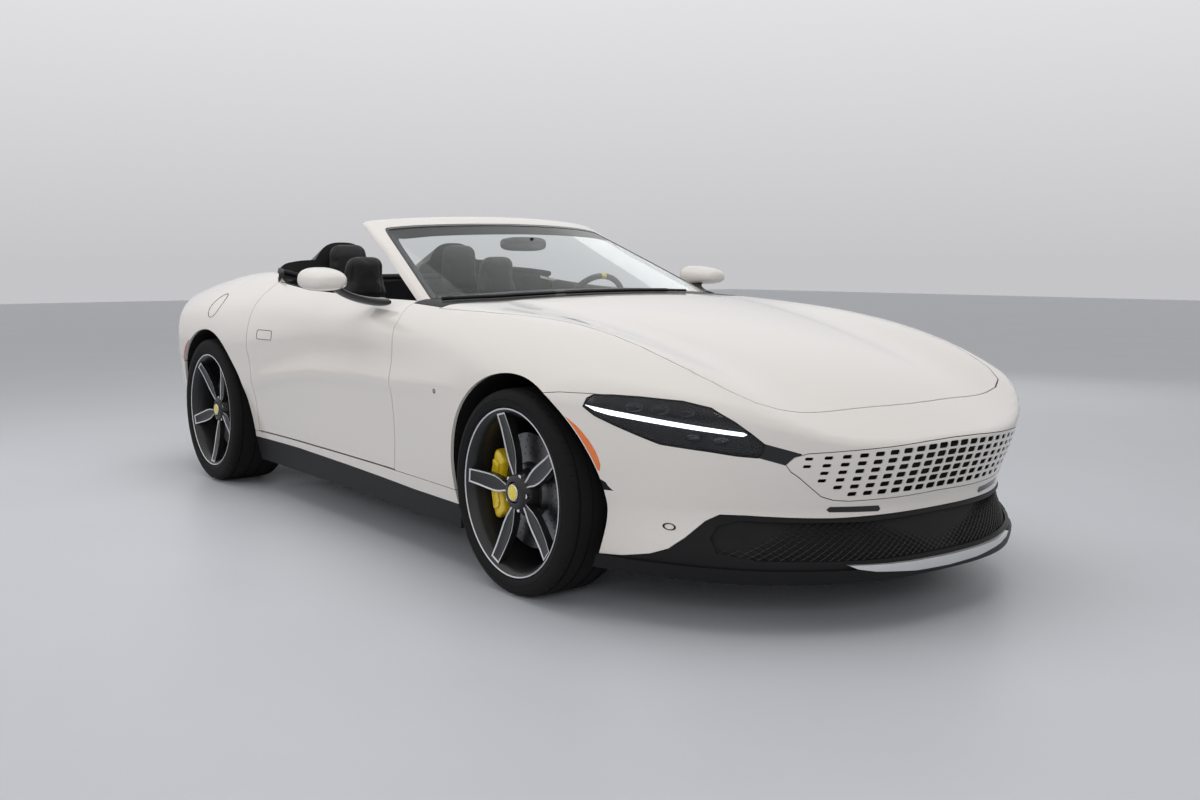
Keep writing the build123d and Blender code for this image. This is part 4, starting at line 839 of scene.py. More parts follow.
def build_panels():
    skin = skin_object("skin")
    bonnet, cowl, cabin = mirrored(BONNET), mirrored(COWL), mirrored(CABIN)
    tonneau, boot = mirrored(TONNEAU), mirrored(BOOT)
    grille = mirrored_front(GRILLE)

    def room(points, low=0.5, grow=GAP):
        return keep_prism(points, low, ROOF, "top", grow=grow)

    cut_panel(skin, "bonnet_skin", room(bonnet, grow=0), body="bonnet", replaces=("bonnet",))
    cut_panel(skin, "cowl_panel", room(cowl, grow=0), material="trim", replaces=("cowl",), slot="black_trim")
    cut_panel(skin, "front_fender_skins", keep_sides(FENDER),
              [room(bonnet), room(cowl, 0.4, 0.003), room(cabin), arch_drums(Cutter()),
               lamp_prism(LAMP, 0.002)], replaces=("front_fenders",))
    tips = lamp_prism(LAMP_TIP, 0.001)
    cut_panel(skin, "front_bumper_skin", keep_prism(BUMPER, -SIDE, SIDE, "side"),
              [room(bonnet), arch_drums(Cutter()), lamp_prism(LAMP, 0.002), tips,
               keep_prism(grille, 1.9, 2.4, "front", grow=0.0025)], replaces=("front_bumper",))
    cut_panel(skin, "rear_quarter_skins", keep_sides(QUARTER),
              [room(cabin), room(tonneau), room(boot), arch_drums(Cutter()), tail_lamp_cutter(0.001)],
              replaces=("rear_quarters",))
    cut_panel(skin, "rear_bumper_skin", keep_prism(REAR_BUMPER, -SIDE, SIDE, "side"),
              [room(boot), arch_drums(Cutter()), tail_lamp_cutter(0.001)], replaces=("rear_bumper",))
    cut_panel(skin, "boot_lid_skin", room(boot, grow=0), body="boot_lid", replaces=("boot_lid",))
    cut_panel(skin, "tonneau_skin", room(tonneau, grow=0), body="tonneau")
    for side, low, high in (("left", 0.0005, SIDE), ("right", -SIDE, -0.0005)):
        cut_panel(skin, f"door_skin_{side}", keep_prism(DOOR, low, high, "side"), [room(cabin)],
                  body=f"door_{side}")
    bpy.data.objects.remove(skin)


def tail_lamp_cutter(grow):
    c = Cutter()
    outline = [(0.600, 0.712), (0.607, 0.705), (0.768, 0.705), (0.775, 0.712), (0.775, 0.763), (0.768, 0.770),
               (0.607, 0.770), (0.600, 0.763)]
    return c.prism(outline, -2.4, -1.95, "front", grow, both=True)


# ------------------------------------------------------------------ stage
CAMERA_AT = (4.555, -3.052, 1.085)
CAMERA_YAW, CAMERA_PITCH, CAMERA_ROLL = 2.508, -0.116, -0.002
CAMERA_FOCAL = 1211.0                    # pixels of a frame 1200 wide
CAMERA_CENTRE = (575.42, 402.48)


def build_stage(look):
    scene = bpy.context.scene
    scene.view_settings.view_transform = "Standard"
    camera = bpy.data.cameras.new("camera")
    camera.sensor_width = 36
    camera.lens = CAMERA_FOCAL / 1200 * 36
    camera.shift_x = (600 - CAMERA_CENTRE[0]) / 1200
    camera.shift_y = (CAMERA_CENTRE[1] - 400) / 1200
    camera.clip_start = 0.05
    camera.clip_end = 100
    holder = bpy.data.objects.new("camera", camera)
    scene.collection.objects.link(holder)
    forward = Vector((math.cos(CAMERA_YAW) * math.cos(CAMERA_PITCH),
                      math.sin(CAMERA_YAW) * math.cos(CAMERA_PITCH), math.sin(CAMERA_PITCH)))
    right = forward.cross(Vector((0, 0, 1))).normalized()
    up = right.cross(forward)
    c, s = math.cos(CAMERA_ROLL), math.sin(CAMERA_ROLL)
    right, up = c * right + s * up, -s * right + c * up
    facing = Matrix((right, up, -forward)).transposed()
    holder.matrix_world = Matrix.Translation(CAMERA_AT) @ facing.to_4x4()
    scene.camera = holder

    floor_material, tree, shader = principled("studio_floor",
                                              **{"Base Color": (0.62, 0.64, 0.68), "Roughness": 0.42,
                                                 "Specular IOR Level": 0.35})
    grain = place_effect(tree, grain_effect(), Scale=1.2, Amount=1.0)
    mix_colours(tree, grain.outputs["Mask"], (0.60, 0.62, 0.66), (0.66, 0.68, 0.72),
                shader.inputs["Base Color"])
    bm = bmesh.new()
    bmesh.ops.create_grid(bm, x_segments=1, y_segments=1, size=30)
    floor = make_piece("floor", bm)
    floor.data.materials.append(floor_material)

    world = bpy.data.worlds.new("studio")
    scene.world = world
    world.use_nodes = True
    w = world.node_tree
    sky = w.nodes["Background"]
    path = w.nodes.new("ShaderNodeLightPath")
    coord = w.nodes.new("ShaderNodeTexCoord")
    split = w.nodes.new("ShaderNodeSeparateXYZ")
    wire(w, coord, "Generated", split, 0)
    ramp = w.nodes.new("ShaderNodeValToRGB")
    ramp.color_ramp.elements[0].position = 0.0
    ramp.color_ramp.elements[0].color = (0.56, 0.56, 0.58, 1)
    ramp.color_ramp.elements[1].position = 0.35
    ramp.color_ramp.elements[1].color = (0.90, 0.90, 0.91, 1)
    wire(w, split, "Z", ramp, "Fac")
    wire(w, ramp, "Color", sky, "Color")
    strength = w.nodes.new("ShaderNodeMapRange")
    strength.inputs["To Min"].default_value = look.world_strength
    strength.inputs["To Max"].default_value = 1.0
    seen = path.outputs["Is Camera Ray"]
    for ray in ("Is Glossy Ray", "Is Transmission Ray"):
        both = w.nodes.new("ShaderNodeMath")
        both.operation = "MAXIMUM"
        w.links.new(seen, both.inputs[0])
        w.links.new(path.outputs[ray], both.inputs[1])
        seen = both.outputs[0]
    w.links.new(seen, strength.inputs["Value"])
    wire(w, strength, "Result", sky, "Strength")

    def soft_light(name, place, target, size, energy, size_y=None):
        data = bpy.data.lights.new(name, "AREA")
        data.shape = "RECTANGLE"
        data.size = size
        data.size_y = size_y or size
        data.energy = energy
        o = bpy.data.objects.new(name, data)
        scene.collection.objects.link(o)
        o.location = place
        o.rotation_euler = (Vector(target) - Vector(place)).to_track_quat("-Z", "Y").to_euler()
        # The lamps light the surfaces, and gloss shows only the pale surroundings.
        o.visible_glossy = False

    soft_light("overhead_softbox", (0.3, -0.4, 4.2), (0.2, 0, 0.6), 6.5, look.key_power, 3.6)
    soft_light("front_softbox", (6.0, -4.0, 2.4), (0.5, 0, 0.6), 3.5, look.fill_power, 2.0)
    soft_light("side_softbox", (-2.0, -6.0, 2.6), (-0.3, 0, 0.6), 5.0, look.fill_power * 0.9, 2.0)
    soft_light("back_softbox", (-3.0, 6.0, 3.0), (0, 0, 0.6), 5.0, look.fill_power * 0.7, 2.0)


# ------------------------------------------------------------------ wheels
TYRE_WIDTH = {"front": 0.245, "rear": 0.280}
TRACK_HALF = {"front": 0.826, "rear": 0.8395}
CORNERS = [("front_left", "front", 1), ("front_right", "front", -1), ("rear_left", "rear", 1),
           ("rear_right", "rear", -1)]
SPOKES = 5
SPOKE_START = {"front": 31, "rear": 53}  # degrees forward of upright, seen from the right
SPOKE_EDGE = [(0.046, 0.0100), (0.060, 0.0115), (0.080, 0.0165), (0.105, 0.0240), (0.135, 0.0280),
              (0.170, 0.0280), (0.215, 0.0258), (0.262, 0.0235)]


def lathe(bm, outline, steps, closed=True, material=None):
    """Turn an (offset, radius) outline about the Y axis."""
    ring = [bm.verts.new((r, y, 0)) for y, r in outline]
    pairs = zip(ring, ring[1:] + (ring[:1] if closed else []))
    edges = [bm.edges.new(p) for p in pairs]
    before = set(bm.faces)
    bmesh.ops.spin(bm, geom=ring + edges, cent=(0, 0, 0), axis=(0, 1, 0), angle=2 * math.pi, steps=steps,
                   use_merge=True)
    faces = [f for f in bm.faces if f not in before]
    bmesh.ops.recalc_face_normals(bm, faces=faces)
    if material is not None:
        mark_faces(faces, material)
    return faces


def wheel_place(bm, end, side):
    """Move a wheel piece drawn about its hub, outward along +Y, to its corner."""
    if side < 0:
        bmesh.ops.scale(bm, verts=bm.verts, vec=(1, -1, 1))
        bmesh.ops.reverse_faces(bm, faces=bm.faces)
    x = FRONT_AXLE if end == "front" else REAR_AXLE
    z = FRONT_R if end == "front" else REAR_R
    bmesh.ops.translate(bm, verts=bm.verts, vec=(x, side * TRACK_HALF[end], z))


def tyre_outline(radius, width):
    h = width / 2
    wall = [(h - 0.0330, 0.2545), (h - 0.0260, 0.2650), (h - 0.0220, 0.2730), (h - 0.0120, 0.2790),
            (h - 0.0080, 0.2802), (h - 0.0035, 0.2860), (h - 0.0005, 0.2955), (h - 0.0002, 0.3010),
            (h - 0.0016, 0.3022), (h - 0.0016, 0.3050), (h - 0.0002, 0.3062), (h - 0.0006, radius - 0.0300),
            (h - 0.0030, radius - 0.0205), (h - 0.0085, radius - 0.0115), (h - 0.0160, radius - 0.0062),
            (h - 0.0250, radius - 0.0032)]
    tread = []
    for groove in (h - 0.042, 0.030, -0.030, -h + 0.042):
        for dy, dr in ((0.0055, 0), (0.0042, 0.0068), (-0.0042, 0.0068), (-0.0055, 0)):
            y = groove + dy
            tread.append((y, radius - 0.0004 - 0.0018 * (y / h) ** 2 - dr))
    return wall + tread + [(-y, r) for y, r in reversed(wall)]


def build_tyres():
    for name, end, side in CORNERS:
        radius, width = (FRONT_R if end == "front" else REAR_R), TYRE_WIDTH[end]
        bm = bmesh.new()
        lathe(bm, tyre_outline(radius, width), 120)
        # Shallow slots across both shoulders.
        cuts = bmesh.new()
        for k in range(60):
            a = 2 * math.pi * k / 60
            for s in (1, -1):
                made = bmesh.ops.create_cube(cuts, size=1)["verts"]
                bmesh.ops.scale(cuts, verts=made, vec=(0.0035, 0.034, 0.010))
                turn(cuts, made, 0.35 * s, "Z")
                bmesh.ops.translate(cuts, verts=made, vec=(0, s * (width / 2 - 0.018), radius + 0.0006))
                turn(cuts, made, a, "Y")
        wheel_place(bm, end, side)
        wheel_place(cuts, end, side)
        piece = finish_mesh(f"tyre_tread_{name}", bm, f"wheel_{name}", "tyre", None, (f"tyre_{name}",))
        cutter = Cutter()
        cutter.bm.free()
        cutter.bm = cuts
        carve(piece, cutter, "DIFFERENCE")
        piece.data.shade_smooth()
        piece.data.set_sharp_from_angle(angle=math.radians(38))


def spoke_solid(bm, edge, face_low, face_high, material):
    """One leaf-shaped spoke along +Z, between two offsets that vary along it."""
    outline = [(w, r) for r, w in edge] + [(-w, r) for r, w in reversed(edge)]
    base = [bm.verts.new((x, face_low(r), r)) for x, r in outline]
    face = bm.faces.new(base)
    out = bmesh.ops.extrude_face_region(bm, geom=[face])["geom"]
    tops = [v for v in out if isinstance(v, bmesh.types.BMVert)]
    for v in tops:
        v.co.y = face_high(v.co.z)
    faces = list({f for v in base + tops for f in v.link_faces})
    bmesh.ops.recalc_face_normals(bm, faces=faces)
    cap = [f for f in faces if all(v in tops for v in f.verts)]
    mark_faces(faces, material)
    return base + tops, cap


def build_rims():
    black, bright, yellow, steel = 0, 1, 2, 3
    for name, end, side in CORNERS:
        h = TYRE_WIDTH[end] / 2
        bm = bmesh.new()
        # Barrel with its outer lip; the lip's face is machined bright.
        lathe(bm, [(h - 0.0080, 0.2765), (h - 0.0090, 0.2715), (h - 0.0130, 0.2665), (h - 0.0200, 0.2600),
                   (h - 0.0380, 0.2500), (-h + 0.030, 0.2400), (-h + 0.010, 0.2500), (-h + 0.008, 0.2680),
                   (-h + 0.020, 0.2680), (-h + 0.024, 0.2541), (h - 0.040, 0.2541), (h - 0.034, 0.2560),
                   (h - 0.024, 0.2720), (h - 0.0095, 0.2778)], 96, material=black)
        lathe(bm, [(h - 0.0072, 0.2770), (h - 0.0066, 0.2745), (h - 0.0078, 0.2715), (h - 0.0120, 0.2710),
                   (h - 0.0120, 0.2770)], 96, material=bright)
        depth = h - 0.1225
        low = lambda r: 0.058 + depth * (r / 0.245) + 0.018 * (r / 0.245) ** 2
        high = lambda r: 0.086 + depth * (r / 0.245) + 0.018 * (r / 0.245) ** 3
        start = math.radians(90 - SPOKE_START[end])
        for k in range(SPOKES):
            angle = start + 2 * math.pi * k / SPOKES
            made, cap = spoke_solid(bm, SPOKE_EDGE, low, high, black)
            # The front face is machined along its edges: an inset rim around a sunken black centre.
            inner = bmesh.ops.inset_region(bm, faces=cap, thickness=0.0058, use_even_offset=True)["faces"]
            mark_faces(inner, bright)
            mark_faces(cap, black)
            cap_verts = {v for f in cap for v in f.verts}
            bmesh.ops.translate(bm, verts=list(cap_verts), vec=(0, -0.0022, 0))
            group = {v for f in cap + inner for v in f.verts} | set(made)
            turn(bm, list(group), angle, "Y")
        lathe(bm, [(0.040, 0.0301), (0.040, 0.075), (0.066, 0.070), (0.082, 0.062), (0.094, 0.054),
                   (0.0985, 0.046), (0.0990, 0.036), (0.085, 0.0301)], 60, material=black)
        lathe(bm, [(0.0965, 0.0285), (0.1010, 0.0283), (0.1032, 0.0270), (0.1034, 0.0248), (0.0965, 0.0248)],
              60, material=steel)
        lathe(bm, [(0.0965, 0.0246), (0.1030, 0.0246), (0.1046, 0.0225), (0.1054, 0.010), (0.1056, 0.0002),
                   (0.0965, 0.0002)], 60, material=yellow)
        for k in range(SPOKES):
            a = start + 2 * math.pi * (k + 0.5) / SPOKES
            for r1, d0, d1, seg, m in ((0.0125, 0.070, 0.0745, 20, black), (0.0095, 0.060, 0.0900, 6, steel)):
                made = bmesh.ops.create_cone(bm, cap_ends=True, segments=seg, radius1=r1, radius2=r1 * 0.92,
                                             depth=d1 - d0)["verts"]
                turn(bm, made, -math.pi / 2, "X")
                bmesh.ops.translate(bm, verts=made, vec=(0, (d0 + d1) / 2, 0.0575))
                turn(bm, made, a, "Y")
                mark_faces(faces_of(made), m)
        # Tyre valve
        made = bmesh.ops.create_cone(bm, cap_ends=True, segments=12, radius1=0.004, radius2=0.0032,
                                     depth=0.032)["verts"]
        turn(bm, made, -math.pi / 2 + 0.5, "X")
        bmesh.ops.translate(bm, verts=made, vec=(0, h - 0.045, 0.236))
        turn(bm, made, start + math.pi / SPOKES, "Y")
        mark_faces(faces_of(made), black)
        wheel_place(bm, end, side)
        piece = finish_mesh(f"spoked_rim_{name}", bm, f"wheel_{name}", ["wheel", "cut", "cap", "chrome"], 32,
                            (f"rim_{name}",))
        add_bevel(piece, 0.0012, 2, 40)


def build_brakes():
    for name, end, side in CORNERS:
        bm = bmesh.new()
        lathe(bm, [(-0.002, 0.112), (-0.002, 0.190), (0.030, 0.190), (0.030, 0.096), (0.045, 0.088),
                   (0.045, 0.0361), (0.037, 0.0361), (0.037, 0.080), (0.010, 0.084), (0.010, 0.112)], 96,
              material=0)
        # The drilled holes are not cut: near-black discs on the disc's face are painted shade standing in for
        # them.
        for ring, radius, count in ((0, 0.122, 12), (1, 0.143, 12), (2, 0.166, 12), (3, 0.181, 12)):
            for k in range(count * 2):
                a = 2 * math.pi * (k + ring * 0.27) / (count * 2)
                made = bmesh.ops.create_circle(bm, cap_ends=True, segments=10, radius=0.0030)["verts"]
                turn(bm, made, -math.pi / 2, "X")
                bmesh.ops.translate(bm, verts=made, vec=(0, 0.0303, radius))
                turn(bm, made, a, "Y")
                mark_faces(faces_of(made), 1)
        wheel_place(bm, end, side)
        finish_mesh(f"drilled_disc_{name}", bm, f"wheel_{name}", ["disc", "dark"], 30, (f"disc_{name}",))


def build_calipers():
    """Four-piston calipers over the discs, behind the front axle and ahead of the rear one."""
    nodes = {"front_left": (("caliper_left",), "knuckle_left"),
             "front_right": (("caliper_right",), "knuckle_right"), "rear_left": (("rear_calipers",), "body"),
             "rear_right": ((), "body")}
    for name, end, side in CORNERS:
        bm = bmesh.new()
        ahead = -1 if end == "front" else 1

        def block(u, v, low=-0.024, high=0.056, r0=0.146, r1=0.2150, reach_a=0.62):
            c, n = rounded(2 * math.pi * v, 4.5)
            grow = ends(u, 0.10)
            a = reach_a * (2 * u - 1)
            mid, half = (low + high) / 2, (high - low) / 2
            r = (r0 + r1) / 2 + (r1 - r0) / 2 * n * (0.70 + 0.30 * grow)
            y = mid + half * c * (0.80 + 0.20 * grow)
            y += 0.003 * (c > 0.5) * math.cos(2 * math.pi * (2 * u - 1))
            return ahead * r * math.cos(a), y, r * math.sin(a)
        tube(bm, 40, 36, block)
        tube(bm, 24, 20, lambda u, v: block(u, v, 0.050, 0.0605, 0.162, 0.200, 0.46))
        face_outwards(bm)
        wheel_place(bm, end, side)
        replaced, body = nodes[name]
        finish_mesh(f"brake_caliper_{name}", bm, body, "caliper", 45, replaced)


# ------------------------------------------------------------------ nose, lamps and lower trim
LED_STRIP = [(0.004, 0.6575), (0.060, 0.6500), (0.150, 0.6395), (0.300, 0.6215), (0.495, 0.5985),
             (0.505, 0.5925), (0.495, 0.5880), (0.300, 0.6090), (0.150, 0.6255), (0.090, 0.6320),
             (0.040, 0.6420)]
INTAKE_MOUTH = [(0, 0.324), (0.30, 0.322), (0.50, 0.328), (0.62, 0.334), (0.665, 0.318), (0.685, 0.280),
                (0.680, 0.240), (0.60, 0.222), (0.30, 0.216), (0, 0.214)]
SLOT = [(0.236, 0.3545), (0.243, 0.3485), (0.400, 0.3560), (0.409, 0.3640), (0.402, 0.3725), (0.245, 0.3665)]


def grille_holes():
    """Rounded holes in six rows, largest in the middle."""
    cutter = Cutter()
    outline = np.array(grow_outline(mirrored_front(GRILLE), -0.006))
    for level in (0.900, 0.745, 0.590, 0.435, 0.280, 0.125):
        for k in range(-11, 12):
            y = 0.0495 * k
            t = min(1, abs(y) / 0.5)
            width, tall = 0.0205 - 0.0100 * t ** 1.4, 0.0092 - 0.0047 * t ** 1.4
            top = 0.556 - 0.018 * t ** 1.3
            z = 0.391 + level * (top - 0.391)
            corners = [(y + a * width, z + b * tall) for a in (1, -1) for b in (1, -1)]
            if not all(inside_outline(outline, c) for c in corners):
                continue
            c = 0.0042 - 0.0018 * t
            points = [(width - c, tall), (-width + c, tall), (-width, tall - c), (-width, -tall + c),
                      (-width + c, -tall), (width - c, -tall), (width, -tall + c), (width, tall - c)]
            cutter.prism([(y + a, z + b) for a, b in points], 2.02, 2.42, "front")
    return cutter


def inside_outline(outline, point):
    x, y = point
    a, b = outline, np.roll(outline, -1, 0)
    crossing = (a[:, 1] > y) != (b[:, 1] > y)
    at = a[:, 0] + (y - a[:, 1]) * (b[:, 0] - a[:, 0]) / np.where(b[:, 1] == a[:, 1], 1e-9, b[:, 1] - a[:, 1])
    return bool(np.sum(crossing & (x < at)) % 2)


def build_nose():
    skin_panel("grille_panel", keep_prism(mirrored_front(GRILLE), 1.9, 2.42, "front"), [grille_holes()],
               replaces=("grille",), thickness=0.0035)
    skin = skin_object("skin", thickness=0.010)
    lower = keep_prism([(x, z - 0.002) for x, z in BUMPER_EDGE] + [(1.54, 0.19), (2.4, 0.19)], -SIDE, SIDE,
                       "side")
    cut_panel(skin, "intake_frame", lower, [keep_prism(mirrored_front(INTAKE_MOUTH), 1.7, 2.42, "front"),
                                            arch_drums(Cutter())], material="trim",
              replaces=("lower_grille",), slot="black_trim", thickness=0.010)
    cut_panel(skin, "lamp_tips", lamp_prism(LAMP_TIP), [keep_prism(mirrored_front(GRILLE), 1.9, 2.42, "front",
                                                                   grow=0.002)], material="gloss",
              slot="black_trim", thickness=0.010)
    bpy.data.objects.remove(skin)

    # A near-black sheet 40 mm behind the grille and intake: painted shade, seen through their openings.
    skin_panel("nose_backing", keep_prism([(-0.60, 0.20), (0.60, 0.20), (0.60, 0.58), (-0.60, 0.58)], 1.9,
                                          2.42, "front"), material="dark", slot="black_trim", thickness=0.004,
               grid=(120, 60), lift=-0.040)
    build_net()

    skin_panel("headlamp_lenses", lamp_prism(LAMP, -0.0015), material="lens", replaces=("headlamps",),
               slot="lamp", thickness=0.003)
    skin_panel("running_lights", lamp_prism(LED_STRIP), material="glow", slot="lamp", thickness=0.007,
               lift=-0.006)
    skin_panel("lamp_bowls", lamp_prism(LAMP, 0.004), material="trim", slot="black_trim", thickness=0.004,
               grid=(140, 70), lift=-0.060)
    skin_panel("lamp_walls", lamp_prism(LAMP, 0.0015), [lamp_prism(LAMP, -0.0035)], material="trim",
               slot="black_trim", thickness=0.062, lift=-0.0005)
    build_lamp_modules()

    skin_panel("front_splitter", keep_prism([(1.50, 0.158), (2.42, 0.152), (2.42, 0.190), (2.10, 0.196),
                                             (1.72, 0.199), (1.50, 0.199)], -SIDE, SIDE, "side"),
               [arch_drums(Cutter())], material="trim", replaces=("splitter",), slot="black_trim",
               thickness=0.040, lift=0.010)
    crescent = [(0, 0.199), (0.15, 0.2005), (0.28, 0.2035), (0.385, 0.208), (0.36, 0.196), (0.30, 0.184),
                (0.15, 0.170), (0, 0.166)]
    skin_panel("splitter_lip", keep_prism(mirrored_front(crescent), 1.9, 2.45, "front"), material="silver",
               slot="paint", thickness=0.030, lift=0.0145)


def build_net():
    """Diamond net in the lower intake, a little behind its frame."""
    pitch = 0.0125
    bm = bmesh.new()
    bmesh.ops.create_grid(bm, x_segments=76, y_segments=76, size=pitch * 38)
    for v in bm.verts:
        a, b = v.co.x, v.co.y
        v.co = (0, (a - b) * 1.05, 0.275 + (a + b) * 0.62)
    mouth = np.array(mirrored_front([(y * 1.02, 0.275 + (z - 0.275) * 1.2) for y, z in INTAKE_MOUTH]))
    outside = [v for v in bm.verts if not inside_outline(mouth, (v.co.y, v.co.z))]
    bmesh.ops.delete(bm, geom=outside, context="VERTS")
    at = np.array([v.co[:] for v in bm.verts])
    origin = at.copy()
    origin[:, 0] = 1.0
    on = reach(origin, np.broadcast_to([1.0, 0, 0], origin.shape), 1.6, 0.022)
    for v, p in zip(bm.verts, on):
        v.co = p
    bmesh.ops.wireframe(bm, faces=bm.faces, thickness=0.0042, use_replace=True, use_even_offset=False)
    face_outwards(bm)
    finish_mesh("intake_net", bm, "body", "net", 30)


def build_lamp_modules():
    """Projectors inside the headlamps."""
    bm = bmesh.new()
    for u, z, r, depth in ((0.170, 0.660, 0.020, 0.030), (0.250, 0.657, 0.020, 0.030),
                           (0.330, 0.652, 0.018, 0.030), (0.430, 0.572, 0.017, 0.026),
                           (0.350, 0.578, 0.015, 0.026)):
        for s in (1, -1):
            spot = LAMP_FOOT + LAMP_ALONG * u
            on = reach(np.array([[spot.x - 0.5 * LAMP_OUT.x, spot.y - 0.5 * LAMP_OUT.y, z]]),
                       np.array([[*LAMP_OUT]]), 1.2, depth)[0]
            for radius, shift, m in ((r, 0.0, 0), (r * 0.8, 0.008, 1)):
                made = bmesh.ops.create_uvsphere(bm, u_segments=24, v_segments=12, radius=radius)["verts"]
                bmesh.ops.scale(bm, verts=made, vec=(1.5, 0.55, 0.8))
                angle = math.atan2(LAMP_OUT.x, LAMP_OUT.y)
                turn(bm, made, -angle, "Z")
                bmesh.ops.translate(bm, verts=made, vec=(on[0] + LAMP_OUT.x * shift,
                                                         on[1] + LAMP_OUT.y * shift, on[2]))
                faces = faces_of(made)
                mark_faces(faces, m)
                if s < 0:
                    bmesh.ops.scale(bm, verts=made, vec=(1, -1, 1))
                    bmesh.ops.reverse_faces(bm, faces=faces)
    finish_mesh("lamp_modules", bm, "body", ["gloss", "screen"], 40)


# ------------------------------------------------------------------ windscreen and mirrors
def sheet(bm, along, around, place, wrap=False, capped=False, material=0):
    """A grid laid out by place(u, v), u and v from 0 to 1; wrap closes it round v."""
    made = bmesh.ops.create_grid(bm, x_segments=along, y_segments=around, size=1)["verts"]
    for v in made:
        v.co = place((v.co.x + 1) / 2, (v.co.y + 1) / 2)
    faces = faces_of(made)
    if wrap:
        bmesh.ops.remove_doubles(bm, verts=made, dist=1e-6)
        made = [v for v in made if v.is_valid]
        faces = [f for f in faces if f.is_valid]
    if capped:
        rims = list({e for f in faces for e in f.edges if e.is_boundary})
        faces += bmesh.ops.holes_fill(bm, edges=rims, sides=0)["faces"]
    mark_faces(faces, material)
    bmesh.ops.recalc_face_normals(bm, faces=faces)
    return made, faces


def tube(bm, along, around, place, material=0):
    """A sheet closed round v and at both ends."""
    return sheet(bm, along, around, place, True, True, material)


def track(points, t):
    """Point at share t of a polyline's length, along a smooth curve through its points."""
    p = np.array(points, float)
    d = np.concatenate([[0], np.cumsum(np.linalg.norm(np.diff(p, axis=0), axis=1))])
    s = np.clip(t, 0, 1) * d[-1]
    k = int(np.clip(np.searchsorted(d, s) - 1, 0, len(p) - 2))
    h = d[k + 1] - d[k]

    def slope(i):
        after, before = min(i + 1, len(p) - 1), max(i - 1, 0)
        return (p[after] - p[before]) / (d[after] - d[before])
    return hermite((s - d[k]) / h, p[k], p[k + 1], slope(k) * h, slope(k + 1) * h)


def track_to_ends(points, t):
    """As track, with the first and last points exact."""
    return track(points, t) if 0 < t < 1 else points[0 if t <= 0 else -1]


def screen_point(y, z, depth=0.0):
    """Point on the windscreen's outer face, or behind it."""
    t = (z - 0.900) / 0.400
    centre, corner, half = 0.853 - 1.085 * t, 0.505 - 0.925 * t, 0.779 - 0.188 * t
    sag = centre - corner
    r = (half * half + sag * sag) / (2 * sag)
    return centre - r + math.sqrt(r * r - y * y) - depth * 2.6, y, z


PILLAR_OUT = [(0.806, 0.850), (0.779, 0.905), (0.700, 1.070), (0.640, 1.200), (0.622, 1.236), (0.611, 1.254),
              (0.590, 1.264), (0.450, 1.277), (0.230, 1.287), (0, 1.291)]
PILLAR_IN = [(0.770, 0.850), (0.741, 0.905), (0.655, 1.070), (0.594, 1.186), (0.579, 1.212), (0.570, 1.224),
             (0.556, 1.230), (0.430, 1.2415), (0.220, 1.2495), (0, 1.2525)]


def round_screen(line, u):
    """A point of a half outline run from the right foot over the header to the left foot."""
    y, z = track(line, 1 - abs(2 * u - 1)) if abs(2 * u - 1) > 1e-9 else line[-1]
    return (y if u > 0.5 else -y), z


def inset_line(amount_side, amount_top):
    return [(y - amount_side * (1 if z < 1.222 else 0.5 * y / 0.57),
             z - amount_top * (0 if z < 1.18 else (z - 1.18) / 0.05 if z < 1.23 else 1))
            for y, z in PILLAR_IN]


def build_surround():
    """Pillars and header in one hoop, black on its inner faces."""
    profile_line = [(0.00, 0.0100), (0.05, 0.0030), (0.18, 0.0), (0.80, 0.0), (0.95, 0.0018), (1.0, 0.0045),
                    (1.0, 0.0150), (0.93, 0.0215), (0.75, 0.0238), (0.25, 0.0238), (0.06, 0.0200),
                    (0.0, 0.0100)]

    def frame_at(u, v):
        t, depth = track(profile_line, v) if 0 < v < 1 else profile_line[0]
        (a, b), (c, d) = round_screen(PILLAR_OUT, u), round_screen(PILLAR_IN, u)
        y, z = a + (c - a) * t, b + (d - b) * t
        # The pillars' outer edges lie further back and inward than their inner ones.
        back = (1 - t) * float(np.interp(z, [1.10, 1.25], [1, 0]))
        return screen_point(y - math.copysign(0.026, y) * back, z, depth + 0.016 * back)
    bm = bmesh.new()
    tube(bm, 150, 26, frame_at)
    face_outwards(bm)
    for f in bm.faces:
        f.normal_update()
        at = f.calc_center_median()
        inward = -f.normal.y * math.copysign(1, at.y) if abs(at.y) > 0.3 else 0.0
        f.material_index = 1 if f.normal.x < -0.30 or inward > 0.45 or f.normal.z < -0.45 else 0
    finish_mesh("screen_surround", bm, "body", ["paint", "trim"], 60, ("windscreen_frame",))


def build_pane():
    lower = 0.900

    def glass_at(depth, u, v):
        z_side = np.interp(v, [0, 1], [lower, 1.225])
        half = np.interp(z_side, [0.85, 0.905, 1.07, 1.186, 1.224, 1.24],
                         [0.771, 0.742, 0.656, 0.595, 0.574, 0.560]) - 0.0006
        y = (2 * u - 1) * half
        rise = np.interp(abs(y), [0, 0.22, 0.43, 0.556, 0.60], [1.252, 1.249, 1.241, 1.2295, 1.222]) - 1.225
        return screen_point(y, z_side + rise * v, depth)
    bm = bmesh.new()
    sheet(bm, 60, 40, lambda u, v: glass_at(0.0030, u, v))
    bmesh.ops.solidify(bm, geom=bm.faces[:], thickness=0.005)
    face_outwards(bm)
    finish_mesh("screen_pane", bm, "body", "glass", 50, ("windscreen",))


